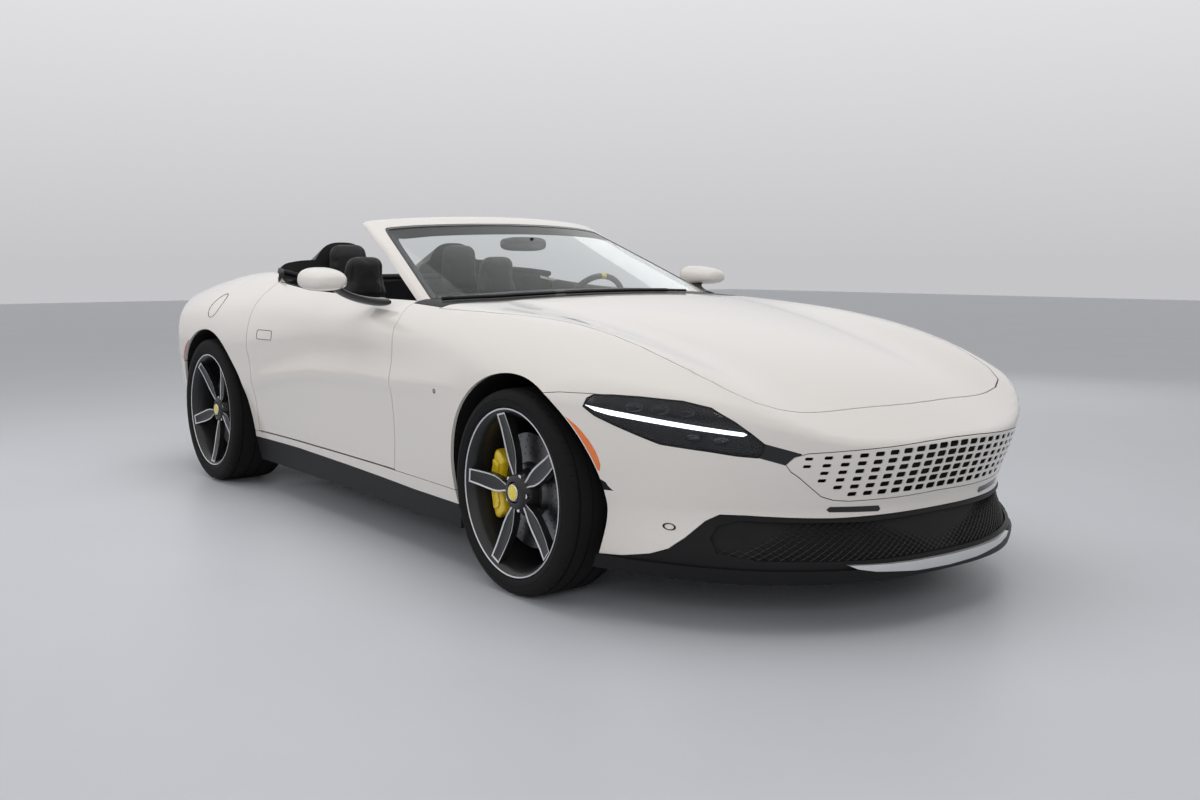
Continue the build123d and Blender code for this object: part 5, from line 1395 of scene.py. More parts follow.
def build_screen_band():
    """The black band printed round the pane and its seal."""
    bm = bmesh.new()
    band = inset_line(0.026, 0.050)

    def frit_at(u, v):
        (a, b), (c, d) = round_screen(PILLAR_IN, u), round_screen(band, u)
        return screen_point(a + (c - a) * v, b + (d - b) * v, 0.0086)
    sheet(bm, 150, 3, frit_at)
    bmesh.ops.solidify(bm, geom=bm.faces[:], thickness=0.0008)

    def seal_at(u, v):
        (a, b), (c, d) = round_screen(PILLAR_IN, u), round_screen(inset_line(0.006, 0.006), u)
        t, depth = ((-0.1, 0.0010), (0.8, 0.0012), (1.1, 0.0032), (-0.1, 0.0050),
                    (-0.1, 0.0010))[min(4, int(round(v * 4)))]
        return screen_point(a + (c - a) * t, b + (d - b) * t, depth)
    tube(bm, 150, 4, seal_at)
    face_outwards(bm)
    finish_mesh("screen_band", bm, "body", "frit", 40)


def build_cabin_mirror():
    """Interior mirror on its stay."""
    bm = bmesh.new()

    def shell_at(u, v):
        a = 2 * math.pi * v
        grow = math.sin(math.pi / 2 * min(1, u * 3.0)) if u < 1 else 1
        p = 3.2
        c, s = math.cos(a), math.sin(a)
        k = (abs(c) ** p + abs(s) ** p) ** (-1 / p)
        return (0.036 - 0.034 * u ** 1.3 - 0.006 * (c * k) ** 2, 0.115 * c * k * max(grow, 1e-4),
                1.160 + 0.031 * s * k * max(grow, 1e-4))
    tube(bm, 14, 48, shell_at)
    tube(bm, 10, 12, lambda u, v: (0.018 + 0.060 * u, 0.010 * math.cos(2 * math.pi * v),
                                   1.162 + 0.022 * u + (0.010 - 0.004 * u) * math.sin(2 * math.pi * v)))
    bmesh.ops.remove_doubles(bm, verts=bm.verts, dist=1e-5)

    def pane(u, v):
        c, n = math.cos(2 * math.pi * v), math.sin(2 * math.pi * v)
        size = 0.02 + 0.98 * u
        return (-0.0052, 0.108 * size * math.copysign(abs(c) ** 0.62, c),
                1.160 + 0.0255 * size * math.copysign(abs(n) ** 0.62, n))
    faces = sheet(bm, 2, 40, pane, wrap=True, material=1)[1]
    bmesh.ops.solidify(bm, geom=faces, thickness=0.0015)
    finish_mesh("cabin_mirror", bm, "body", ["gloss", "mirror"], 40, ("interior_mirror",))


def build_wipers():
    """Two wipers parked on the cowl."""
    bm = bmesh.new()
    for foot, tip in ((0.34, -0.26), (-0.22, -0.70)):
        def arm(u, v, foot=foot, tip=tip):
            y = foot + (tip - foot) * u
            x = 0.752 - 0.20 * (abs(y) / 0.75) ** 2.2 - 0.010 * math.sin(math.pi * u)
            z = top_at(x, y) + 0.010
            w = 0.009 - 0.004 * u
            a = 2 * math.pi * v
            return x + w * math.cos(a), y, z + 0.005 * math.sin(a)
        tube(bm, 40, 8, arm)

        def blade(u, v, foot=foot, tip=tip):
            y = foot - 0.10 * math.copysign(1, foot - tip) + (tip - foot) * u * 0.86
            x = 0.735 - 0.20 * (abs(y) / 0.75) ** 2.2
            z = top_at(x, y) + 0.009
            a = 2 * math.pi * v
            return x + 0.005 * math.cos(a), y, z + 0.007 * math.sin(a)
        tube(bm, 40, 8, blade)
    finish_mesh("wipers", bm, "body", "trim", 50)


def build_screen():
    for build in (build_surround, build_pane, build_screen_band, build_cabin_mirror, build_wipers):
        build()


MIRROR_Y, MIRROR_Z = 1.000, 1.018        # middle of the door mirrors' housings


def mirror_ring(v, size):
    """Offsets in y and z round a mirror's rounded outline, at a share of its full size."""
    a = 2 * math.pi * v
    c, n = math.cos(a), math.sin(a)
    k = (abs(c) ** 2.6 + abs(n) ** 2.6) ** (-1 / 2.6)
    return 0.093 * c * k * size * (1 - 0.04 * n), (0.046 if n > 0 else 0.044) * n * k * size


def build_door_mirrors():
    for side, s in (("left", 1), ("right", -1)):
        bm = bmesh.new()

        def bowl(u, v, s=s):
            x = 0.038 + 0.162 * math.sin(u * math.pi / 2)
            dy, dz = mirror_ring(v, max(math.cos(u * math.pi / 2) ** 0.62, 1e-4))
            lean = (x - 0.035) / 0.13
            return x, s * (MIRROR_Y + 0.010 * lean + dy), MIRROR_Z - 0.008 * lean + dz
        sheet(bm, 24, 64, bowl, wrap=True)

        def lip(u, v, s=s):
            step = min(4, int(round(u * 4)))
            dy, dz = mirror_ring(v, (1.0, 0.985, 0.94, 0.93, 0.0001)[step])
            return (0.038, 0.0355, 0.0365, 0.050, 0.050)[step], s * (MIRROR_Y + dy), MIRROR_Z + dz
        sheet(bm, 4, 64, lip, wrap=True, material=1)
        bmesh.ops.remove_doubles(bm, verts=bm.verts, dist=2e-5)
        face_outwards(bm)

        def pane(u, v, s=s):
            dy, dz = mirror_ring(v, max(u, 1e-4) * 0.905)
            return 0.043 - 0.001 * u * u, s * (MIRROR_Y + dy), MIRROR_Z + dz
        faces = sheet(bm, 8, 64, pane, wrap=True, material=2)[1]
        bmesh.ops.solidify(bm, geom=faces, thickness=0.002)

        def arm(u, v, s=s):
            a = 2 * math.pi * v
            c, n = math.cos(a), math.sin(a)
            t = u * u * (3 - 2 * u)
            x = 0.268 - 0.168 * t + (0.085 - 0.040 * t) * c
            y = 0.846 + 0.112 * u
            z = 0.930 + 0.050 * u ** 1.2 - 0.012 * math.sin(math.pi * u) + (0.017 - 0.004 * t) * n
            return x, s * y, z
        tube(bm, 24, 32, arm, 1)
        finish_mesh(f"door_mirror_{side}", bm, f"door_{side}", ["paint", "gloss", "mirror"], 50,
                    (f"mirror_{side}",))


# ------------------------------------------------------------------ doors, deck and tail
def core_object(name, lift):
    """The body's whole volume as one closed solid, a little inside the skin."""
    return skin_object(name, thickness=0, grid=(110, 60), low=-1.0, lift=lift)


def cut_core(core, name, keep, body, replaces):
    """The part of the core inside a cutter, as the inner frame of an opening panel."""
    piece = bpy.data.objects.new(name, core.data.copy())
    bpy.context.scene.collection.objects.link(piece)
    carve(piece, keep, "INTERSECT")
    piece.data.materials.clear()
    dress(piece, body, "trim", 35, replaces)


def build_doors():
    core = core_object("core", -0.0095)
    # Where the inner card starts and ends along the car.
    x0, x1 = -0.872, 0.405
    for side, low, high, s in (("left", 0.790, SIDE, 1), ("right", -SIDE, -0.790, -1)):
        inner = grow_outline([(x, min(z, 1.1)) for x, z in DOOR], -0.003)
        body = f"door_{side}"
        cut_core(core, f"door_frame_{side}", keep_prism(inner, low, high, "side"), body, (body,))

        # Inner card: a padded panel with an armrest, a grip and a lower pocket.
        bm = bmesh.new()

        def card(u, v, s=s):
            x = x0 + (x1 - x0) * u
            foot, head = 0.345, top_at(x, 0.80) - 0.018
            z = foot + (head - foot) * v
            edge = min(1, min(u, 1 - u) / 0.02, min(v, 1 - v) / 0.03)
            swell = 0.010 * math.sqrt(max(edge, 0))
            low_line = z - 0.665 - 0.05 * (x + 0.2)
            rest = 0.034 * math.exp(-(low_line / 0.038) ** 4) * math.exp(-((x + 0.28) / 0.42) ** 6)
            upper = 0.010 * (1 / (1 + math.exp(-(z - 0.78) / 0.012)))
            pocket = 0.020 * math.exp(-((z - 0.40) / 0.05) ** 4) * math.exp(-((x + 0.15) / 0.45) ** 6)
            return x, s * (0.789 - swell - rest - upper - pocket), z
        sheet(bm, 110, 70, card)
        bmesh.ops.solidify(bm, geom=bm.faces[:], thickness=-0.003 if s > 0 else 0.003)
        face_outwards(bm)
        # Pull handle and release lever
        for x, z, length, tall, m in ((-0.17, 0.752, 0.085, 0.011, 1), (0.05, 0.800, 0.060, 0.010, 1)):
            def grip(u, v, s=s, x=x, z=z, length=length, tall=tall):
                a = 2 * math.pi * v
                bend = math.sin(math.pi * u)
                return (x + length * (2 * u - 1), s * (0.776 - 0.022 * bend ** 0.6 + 0.006 * math.cos(a)),
                        z + tall * math.sin(a) * (0.6 + 0.4 * bend))
            tube(bm, 20, 14, grip, m)
        # Stitched line
        def stitch(u, v, s=s):
            a = 2 * math.pi * v
            x = x0 + 0.05 + (x1 - x0 - 0.10) * u
            return x, s * (0.7705 + 0.0022 * math.cos(a)), 0.7905 + 0.0022 * math.sin(a)
        tube(bm, 60, 8, stitch, 2)
        # Loudspeaker grille
        made = bmesh.ops.create_circle(bm, cap_ends=True, segments=48, radius=0.075)["verts"]
        turn(bm, made, math.pi / 2, "X")
        bmesh.ops.translate(bm, verts=made, vec=(0.27, s * 0.7765, 0.46))
        disc = faces_of(made)
        ring = bmesh.ops.inset_region(bm, faces=disc, thickness=0.006)["faces"]
        bmesh.ops.translate(bm, verts=list({v for f in disc for v in f.verts}), vec=(0, -s * 0.003, 0))
        mark_faces(disc + ring, 1)
        finish_mesh(f"door_card_{side}", bm, f"door_{side}", ["leather", "gloss", "accent"], 45)
    bpy.data.objects.remove(core)


def build_deck():
    """Two fairings behind the rear seats, standing on the deck cover, and its underside."""
    core = core_object("core", -0.0105)
    cut_core(core, "tonneau_frame", keep_prism(grow_outline(mirrored(TONNEAU), -0.004), 0.925, ROOF, "top"),
             "tonneau", ())
    bpy.data.objects.remove(core)
    bm = bmesh.new()
    for s in (1, -1):
        def hump(t, v, s=s):
            x = -1.160 - 0.500 * t
            tall = 0.187 * (1 - t) ** 0.9 * (1 - 0.10 * t) + 0.004
            shelf = 0.100 * (1 - t) ** 0.7 + 0.003
            wide = 0.275 - 0.155 * t ** 1.4
            base = top_at(x, 0.39) - 0.010
            c = math.cos(math.pi * v)
            y = 0.390 - 0.05 * t + wide * c
            e = min(1, abs(y - 0.326) / (0.150 - 0.050 * t))
            peak, flat = tall * (1 - e ** 2.8) ** (1 / 2.8), shelf * max(0, 1 - c ** 4) ** 0.25
            z = (peak + flat + math.sqrt((peak - flat) ** 2 + 0.018 ** 2)) / 2
            z -= 0.009 * min(1, 4 * (1 - abs(c)))
            return x, s * y, base + z + 0.010 * max(0, 1 - c ** 4) ** 0.25
        sheet(bm, 50, 40, hump)
        rims = [e for e in bm.edges if e.is_boundary and all(abs(v.co.x + 1.160) < 1e-6 for v in e.verts)
                and (e.verts[0].co.y > 0) == (s > 0)]
        bmesh.ops.contextual_create(bm, geom=rims)
    face_outwards(bm)
    piece = finish_mesh("deck_fairings", bm, "tonneau", "leather", 50, ("tonneau",))
    add_wall(piece, 0.004, -1)


PIPE_Y = (0.480, 0.590, -0.480, -0.590)
PIPE_Z = 0.270


def build_tail_lamps():
    skin_panel("tail_lamp_lenses", tail_lamp_cutter(-0.0015), material="red_lens", replaces=("tail_lamps",),
               slot="tail_lamp", thickness=0.006, grid=(150, 80))
    skin_panel("tail_lamp_bowls", tail_lamp_cutter(-0.001), material="gloss", slot="black_trim",
               thickness=0.030, grid=(150, 80), lift=-0.012)
    line = [(0.612, 0.728), (0.762, 0.728), (0.767, 0.7375), (0.762, 0.747), (0.612, 0.747), (0.607, 0.7375)]
    skin_panel("tail_light_bars", Cutter().prism(line, -2.4, -1.95, "front", 0, True), material="red_glow",
               slot="tail_lamp", thickness=0.004, grid=(150, 80), lift=-0.0075)


def build_diffuser():
    """Diffuser with five fins."""
    skin_panel("rear_diffuser_skin", keep_prism([(-1.78, 0.150), (-2.42, 0.150), (-2.42, 0.3375),
                                                 (-1.78, 0.3375)], -0.96, 0.96, "side"),
               [arch_drums(Cutter()), pipe_cutter()], material="trim", replaces=("diffuser",),
               slot="black_trim", thickness=0.016, grid=(170, 90), lift=0.002)
    bm = bmesh.new()
    for y in (-0.33, -0.165, 0, 0.165, 0.33):
        add_prism(bm, [(-1.80, 0.152), (-2.185, 0.158), (-2.255, 0.225), (-2.278, 0.300), (-2.22, 0.320),
                       (-1.80, 0.320)], y - 0.004, y + 0.004, "side")
    piece = finish_mesh("diffuser_fins", bm, "body", "trim", 30)
    add_bevel(piece, 0.0015, 2)


def build_exhausts():
    """Four turned tips with bores darkened by painted shade."""
    bm = bmesh.new()
    for y in PIPE_Y:
        outline = [(-2.288, 0.0450), (-2.2895, 0.0435), (-2.288, 0.0415), (-2.260, 0.0400), (-2.200, 0.0395),
                   (-2.130, 0.0390), (-2.130, 0.0010), (-2.100, 0.0010), (-2.095, 0.0440)]
        ring = [bm.verts.new((x, y, PIPE_Z + r)) for x, r in outline]
        edges = [bm.edges.new((ring[i], ring[(i + 1) % len(ring)])) for i in range(len(ring))]
        before = set(bm.faces)
        bmesh.ops.spin(bm, geom=ring + edges, cent=(0, y, PIPE_Z), axis=(1, 0, 0), angle=2 * math.pi,
                       steps=56, use_merge=True)
        faces = [f for f in bm.faces if f not in before]
        bmesh.ops.recalc_face_normals(bm, faces=faces)
        # Faces inside the bore and the disc closing the pipe take the near-black painted shade.
        for f in faces:
            c = f.calc_center_median()
            if c.x > -2.27 and math.hypot(c.y - y, c.z - PIPE_Z) < 0.0415:
                f.material_index = 1
    finish_mesh("exhaust_tips", bm, "body", ["chrome", "dark"], 40, ("tailpipes",))


def build_plate_holder():
    """The number plate's place, left bare."""
    bm = bmesh.new()
    add_prism(bm, [(-0.262, 0.405), (0.262, 0.405), (0.262, 0.515), (-0.262, 0.515)], -2.3245, -2.3185,
              "front")
    piece = finish_mesh("plate_holder", bm, "body", "trim", 30)
    add_bevel(piece, 0.003, 3)


def build_tail():
    for build in (build_tail_lamps, build_diffuser, build_exhausts, build_plate_holder):
        build()


def pipe_cutter():
    cutter = Cutter()
    for y in PIPE_Y:
        made = bmesh.ops.create_cone(cutter.bm, cap_ends=True, segments=48, radius1=0.0475, radius2=0.0475,
                                     depth=0.5)["verts"]
        turn(cutter.bm, made, math.pi / 2, "Y")
        bmesh.ops.translate(cutter.bm, verts=made, vec=(-2.25, y, PIPE_Z))
    return cutter


def build_trims():
    outline = [(-0.955, 0.150), (0.935, 0.150), (0.950, 0.205), (0.955, 0.238), (0.60, 0.238), (0.0, 0.250),
               (-0.50, 0.258), (-0.962, 0.258), (-0.960, 0.22)]
    band = [(0.955, 0.2395), (0.966, 0.2885), (-0.970, 0.2885), (-0.963, 0.2595), (-0.50, 0.2595),
            (0.0, 0.2515), (0.60, 0.2395)]
    skin_panel("sill_skirts", Cutter().prism(outline, 0.60, SIDE, "side", 0, True), [arch_drums(Cutter())],
               material="trim", replaces=("side_skirts",), slot="black_trim", thickness=0.020, grid=(180, 80),
               lift=0.002)
    skin_panel("sill_bands", Cutter().prism(band, 0.60, SIDE, "side", 0, True), [arch_drums(Cutter())],
               thickness=0.016, grid=(180, 80))
    marks = skin_object("marks", thickness=0.004, grid=(230, 130), lift=0.0012)
    rise = np.linspace(0.618, 0.462, 9)
    inner = [(FRONT_AXLE + math.sqrt(0.3945 ** 2 - (z - FRONT_R) ** 2), z) for z in rise]
    outer = [(x + 0.006 + 0.021 * math.sin(math.pi * k / 8) ** 0.6, z - 0.004)
             for k, (x, z) in enumerate(inner)]
    strip = inner + outer[::-1]
    cut_panel(marks, "side_markers", Cutter().prism(strip, 0.5, SIDE, "side", 0, True), material="amber",
              slot="lamp", thickness=0.004)
    slots = Cutter()
    slots.prism(SLOT, 1.9, 2.42, "front")
    slots.prism([(-y, z) for y, z in SLOT], 1.9, 2.42, "front")
    cut_panel(marks, "bumper_slots", slots, material="gloss", slot="black_trim", thickness=0.004)
    sensors, holes = Cutter(), Cutter()
    for y, z in ((0.751, 0.306), (-0.751, 0.306)):
        for cutter, r in ((sensors, 0.0105), (holes, 0.0078)):
            cutter.prism([(y + r * math.cos(a), z + r * math.sin(a))
                          for a in np.linspace(0, 2 * math.pi, 24, endpoint=False)], 1.7, 2.42, "front")
    cut_panel(marks, "distance_sensors", sensors, [holes], material="gloss", slot="black_trim",
              thickness=0.004)
    circle = np.linspace(0, 2 * math.pi, 40, endpoint=False)
    lines = [("fuel_lid_line", "body", False, [(-1.335 + 0.062 * math.cos(a), 0.872 + 0.058 * math.sin(a))
                                               for a in circle])]
    rise = np.linspace(0.575, 0.690, 7)
    inner = [(REAR_AXLE - math.sqrt(0.4065 ** 2 - (z - REAR_R) ** 2), z) for z in rise]
    outer = [(x - 0.005 - 0.017 * math.sin(math.pi * k / 6) ** 0.6, z + 0.003)
             for k, (x, z) in enumerate(inner)]
    strip = inner + outer[::-1]
    cut_panel(marks, "rear_side_markers", Cutter().prism(strip, 0.5, SIDE, "side", 0, True), material="red",
              slot="tail_lamp", thickness=0.004)
    spots, cores = Cutter(), Cutter()
    for cutter, r in ((spots, 0.0085), (cores, 0.0055)):
        cutter.prism([(0.850 + r * math.cos(a), 0.633 + r * math.sin(a)) for a in circle[::2]], 0.5, SIDE,
                     "side", 0, True)
    cut_panel(marks, "fender_rings", spots, [cores], material="gloss", slot="black_trim", thickness=0.004)
    for side, s in (("left", 1), ("right", -1)):
        lines.append((f"door_handle_line_{side}", f"door_{side}", s > 0,
                      [(-0.775, 0.742), (-0.768, 0.735), (-0.632, 0.735), (-0.625, 0.742), (-0.625, 0.772),
                       (-0.632, 0.779), (-0.768, 0.779), (-0.775, 0.772)]))
    for name, body, far, points in lines:
        low, high = (0.5, SIDE) if far else (-SIDE, -0.5)
        cut_panel(marks, name, Cutter().prism(points, low, high, "side"),
                  [Cutter().prism(points, low, high, "side", -0.0022)], body=body, material="seal",
                  slot="black_trim", thickness=0.004)
    bpy.data.objects.remove(marks)


NODE_FINISHES = {"body_shell": "structure", "lower_grille": "trim", "cowl": "trim", "suspension": "cast",
                 "knuckle_left": "cast", "knuckle_right": "cast", "engine": "engine", "radiator": "cast",
                 "lid_hinges": "structure",}


def finish_nodes():
    """Give every CAD node that stays in view its finish."""
    for name, key in NODE_FINISHES.items():
        node = bpy.data.objects.get(name)
        if node is None or node.type != "MESH":
            continue
        if not node.material_slots:
            node.data.materials.append(MATERIALS[key])
        for slot in node.material_slots:
            slot.material = MATERIALS[key]


# ------------------------------------------------------------------ cabin
SEAT_Y = 0.380
VOXEL = 0.007                            # size of the cushions' voxels


def points_of(mesh):
    return pull(mesh.vertices, "co").astype(float)


def inflate(piece, limit):
    """Fill a closed cover with air for a moment and keep the swelling within limit."""
    voxels = piece.modifiers.new("voxels", "REMESH")
    voxels.mode = "VOXEL"
    voxels.voxel_size = VOXEL
    apply_modifiers(piece)
    start = points_of(piece.data)
    cloth = piece.modifiers.new("cloth", "CLOTH")
    cloth.settings.use_pressure = True
    cloth.settings.uniform_pressure_force = 4.0
    cloth.settings.effector_weights.gravity = 0.0
    cloth.settings.quality = 4
    scene = bpy.context.scene
    for f in range(1, 21):
        scene.frame_set(f)
    graph = bpy.context.evaluated_depsgraph_get()
    swollen = bpy.data.meshes.new_from_object(piece.evaluated_get(graph))
    end = points_of(swollen)
    piece.modifiers.clear()
    scene.frame_set(1)
    move = end - start
    far = np.linalg.norm(move, axis=1, keepdims=True)
    move *= np.minimum(1, limit / np.maximum(far, 1e-9))
    piece.data.vertices.foreach_set("co", (start + move).astype(np.float32).ravel())
    bpy.data.meshes.remove(swollen)


def cushion(name, place, along, around, body, seams, limit=0.012, material="leather", replaces=(),
            both=True):
    """A padded cover: a closed form, swollen, with its seams drawn in afterwards."""
    bm = bmesh.new()
    tube(bm, along, around, place)
    piece = make_piece(name + "_left" if both else name, bm)
    inflate(piece, limit)
    co = points_of(piece.data)
    normals = pull(piece.data.vertices, "normal")
    depth = np.zeros(len(co))
    for seam in seams:
        depth = np.maximum(depth, seam(co, normals))
    co -= normals * depth[:, None]
    piece.data.vertices.foreach_set("co", co.astype(np.float32).ravel())
    dress(piece, body, material, None, replaces)
    piece.data.shade_smooth()
    tree = BVHTree.FromPolygons([Vector(c) for c in co], [list(p.vertices) for p in piece.data.polygons])
    if both:
        twin = piece.data.copy()
        bm = bmesh.new()
        bm.from_mesh(twin)
        bmesh.ops.scale(bm, verts=bm.verts, vec=(1, -1, 1))
        bmesh.ops.reverse_faces(bm, faces=bm.faces)
        bpy.data.meshes.remove(twin)
        other = make_piece(name + "_right", bm)
        dress(other, body, material, None, ())
        other.data.shade_smooth()
    return tree


def cord_on(bm, tree, starts, direction, radius, lift=0.0, material=0):
    """A piping cord laid on a cushion, found by casting rays at it."""
    line = []
    for s in starts:
        hit = tree.ray_cast(Vector(s), Vector(direction).normalized())
        if hit[0] is not None:
            line.append(hit[0] - Vector(direction).normalized() * lift)
    if len(line) < 4:
        return
    line = np.array([tuple(p) for p in line])
    for _ in range(2):
        line[1:-1] = (line[:-2] + 2 * line[1:-1] + line[2:]) / 4

    def at(u, v):
        p = track_to_ends(line, u)
        q = track(line, min(u + 0.01, 1)) - track(line, max(u - 0.01, 0))
        q /= max(np.linalg.norm(q), 1e-9)
        n = -np.array(Vector(direction).normalized())
        n -= q * np.dot(n, q)
        n /= max(np.linalg.norm(n), 1e-9)
        b = np.cross(q, n)
        a = 2 * math.pi * v
        return tuple(p + radius * (math.cos(a) * n + math.sin(a) * b))
    for s in (1, -1):
        tube(bm, 60, 8, lambda u, v: (at(u, v)[0], s * at(u, v)[1], at(u, v)[2]), material)


def rounded(a, power):
    c, n = math.cos(a), math.sin(a)
    k = (abs(c) ** power + abs(n) ** power) ** (-1 / power)
    return c * k, n * k


def ends(u, share=0.16, power=0.5):
    """Share of the full width near the ends of a closed cushion."""
    d = min(u, 1 - u) / share
    return 1.0 if d >= 1 else max(1 - (1 - d) ** 2, 1e-5) ** power


SEAT_BACK_LINE = [(-0.580, 0.400), (-0.620, 0.500), (-0.665, 0.600), (-0.715, 0.730), (-0.760, 0.850),
                  (-0.780, 0.905)]


def build_front_seats():
    """Fluted cushions and backs, head restraints, hard shells and coloured piping."""
    def base(u, v):
        c, n = rounded(2 * math.pi * v, 3.2)
        x = -0.615 + 0.480 * u
        grow = ends(u)
        wide = (0.232 - 0.012 * u) * (0.55 + 0.45 * grow)
        y = c * wide
        bolster = 0.045 * min(1, max(0, (abs(y) - 0.120) / 0.06)) ** 1.2 * (n > 0)
        z = 0.392 + 0.020 * u + n * 0.052 * grow + bolster * grow - 0.012 * (n > 0) * (1 - u)
        return x, SEAT_Y + y, z

    def flute(co, normals):
        inside = np.abs(co[:, 1] - SEAT_Y) < 0.128
        x = (co[:, 0] + 0.60) / 0.062
        d = np.abs(x - np.round(x)) * 0.062
        return 0.008 * bell(d, 0, 0.006) * inside * (normals[:, 2] > 0.5)

    def panel_seam(co, normals):
        d = np.abs(np.abs(co[:, 1] - SEAT_Y) - 0.135)
        return 0.010 * bell(d, 0, 0.006) * (normals[:, 2] > 0.3)
    base_tree = cushion("seat_base", base, 34, 56, "body", (flute, panel_seam), replaces=("seats",))

    def back(u, v):
        c, n = rounded(2 * math.pi * v, 3.0)
        x, z = track_to_ends(SEAT_BACK_LINE, u)
        grow = ends(u, 0.14)
        wide = (0.236 - 0.050 * u ** 2.2) * (0.6 + 0.4 * grow)
        y = c * wide
        bolster = 0.050 * min(1, max(0, (abs(y) - 0.115) / 0.06)) ** 1.2 * (n > 0) * (1 - 0.6 * u)
        thick = n * 0.046 * grow + bolster * grow
        return x + thick * 0.93, SEAT_Y + y, z + thick * 0.36

    def back_flute(co, normals):
        inside = np.abs(co[:, 1] - SEAT_Y) < 0.112
        z = (co[:, 2] - 0.45) / 0.060
        d = np.abs(z - np.round(z)) * 0.060
        return 0.008 * bell(d, 0, 0.006) * inside * (normals[:, 0] > 0.4) * (co[:, 2] < 0.84)

    def back_seam(co, normals):
        d = np.abs(np.abs(co[:, 1] - SEAT_Y) - 0.125)
        return 0.010 * bell(d, 0, 0.006) * (normals[:, 0] > 0.2)
    back_tree = cushion("seat_back", back, 44, 56, "body", (back_flute, back_seam))

    def head(t, v):
        c, n = rounded(2 * math.pi * v, 2.8)
        z = 0.895 + 0.215 * t
        x = -0.800 - 0.012 * math.sin(math.pi * t)
        grow = ends(t, 0.22)
        wide = (0.118 - 0.030 * t) * (0.5 + 0.5 * grow)
        return x + n * 0.040 * grow, SEAT_Y + c * wide, z

    def head_seam(co, normals):
        d = np.abs(co[:, 2] - 0.925)
        e = np.abs(np.abs(co[:, 1] - SEAT_Y) - 0.075 + 0.10 * np.maximum(0, co[:, 2] - 1.0))
        return np.maximum(0.004 * bell(d, 0, 0.006), 0.004 * bell(e, 0, 0.005) * (normals[:, 0] > 0.4))
    cushion("seat_head", head, 28, 44, "body", (head_seam,), limit=0.008)

    # Hard shells behind the backs, the plinths and the yellow piping.
    bm = bmesh.new()
    for s in (1, -1):
        def shell(u, v, s=s):
            x, z = track_to_ends(SEAT_BACK_LINE, u)
            y = (2 * v - 1) * (0.232 - 0.060 * u ** 2.2)
            edge = 0.030 * (abs(2 * v - 1) ** 6)
            return x - 0.052 + edge, s * SEAT_Y + y, z - 0.018 + 0.4 * edge
        faces = sheet(bm, 30, 30, shell)[1]
        bmesh.ops.solidify(bm, geom=faces, thickness=0.006)
        add_prism(bm, [(-0.60, 0.196), (-0.24, 0.196), (-0.20, 0.335), (-0.62, 0.320)], s * SEAT_Y - 0.175,
                  s * SEAT_Y + 0.175, "side")
        for rail in (-0.15, 0.15):
            add_prism(bm, [(-0.70, 0.1925), (-0.10, 0.1925), (-0.10, 0.208), (-0.70, 0.208)],
                      s * (SEAT_Y + rail) - 0.018, s * (SEAT_Y + rail) + 0.018, "side")
    face_outwards(bm)
    piece = finish_mesh("seat_shells", bm, "body", "gloss", 40)
    add_bevel(piece, 0.003, 2, 40)

    bm = bmesh.new()
    for shift in (0.215, -0.215):
        cord_on(bm, base_tree, [(x, SEAT_Y + shift, 0.8) for x in np.linspace(-0.56, -0.165, 40)], (0, 0, -1),
                0.0032, 0.0)
        cord_on(bm, back_tree, [(0.2, SEAT_Y + shift * (1 - 0.14 * t ** 2), 0.50 + 0.36 * t)
                                for t in np.linspace(0, 1, 40)], (-1, 0, 0), 0.0032, 0.0)
    for shift in (0.128, -0.128):
        cord_on(bm, back_tree, [(0.2, SEAT_Y + shift, z) for z in np.linspace(0.50, 0.86, 40)], (-1, 0, 0),
                0.0022, 0.0)
    finish_mesh("seat_piping", bm, "body", "accent", 60)


REAR_SEAT_Y, REAR_HEAD_Y = 0.345, 0.326


def build_rear_seats():
    """The rear pair of cushions, backs and head restraints."""
    def rear_base(u, v):
        c, n = rounded(2 * math.pi * v, 3.0)
        x = -1.065 + 0.185 * u
        grow = ends(u, 0.25)
        return x, REAR_SEAT_Y + c * 0.205 * (0.6 + 0.4 * grow), 0.475 + 0.030 * u + n * 0.050 * grow

    def rear_seam(co, normals):
        d = np.abs(np.abs(co[:, 1] - REAR_SEAT_Y) - 0.10)
        return 0.006 * bell(d, 0, 0.006) * (normals[:, 2] > 0.3)
    cushion("rear_seat_base", rear_base, 22, 44, "body", (rear_seam,), limit=0.008, replaces=("rear_seat",))

    def rear_back(u, v):
        c, n = rounded(2 * math.pi * v, 3.0)
        z = 0.520 + 0.405 * u
        grow = ends(u, 0.16)
        return -1.085 - 0.020 * u + n * 0.036 * grow, REAR_SEAT_Y + c * 0.215 * (0.6 + 0.4 * grow), z

    def rear_flute(co, normals):
        d = np.abs(np.abs(co[:, 1] - REAR_SEAT_Y) - 0.11)
        z = (co[:, 2] - 0.45) / 0.060
        e = np.abs(z - np.round(z)) * 0.060
        e = np.where(np.abs(co[:, 1] - REAR_SEAT_Y) < 0.10, 0.006 * bell(e, 0, 0.006), 0)
        return np.maximum(0.006 * bell(d, 0, 0.006), e) * (normals[:, 0] > 0.3)
    cushion("rear_seat_back", rear_back, 30, 44, "body", (rear_flute,), limit=0.008)

    def rear_head(u, v):
        c, n = rounded(2 * math.pi * v, 2.8)
        z = 0.925 + 0.250 * u
        grow = ends(u, 0.22)
        wide = (0.118 - 0.022 * u) * (0.5 + 0.5 * grow)
        return -1.096 + n * 0.030 * grow, REAR_HEAD_Y + c * wide, z

    def rear_head_seam(co, normals):
        d = np.abs(np.abs(co[:, 1] - REAR_HEAD_Y) - 0.070)
        return 0.004 * bell(d, 0, 0.005) * (normals[:, 0] > 0.4)
    cushion("rear_seat_head", rear_head, 28, 44, "body", (rear_head_seam,), limit=0.007)


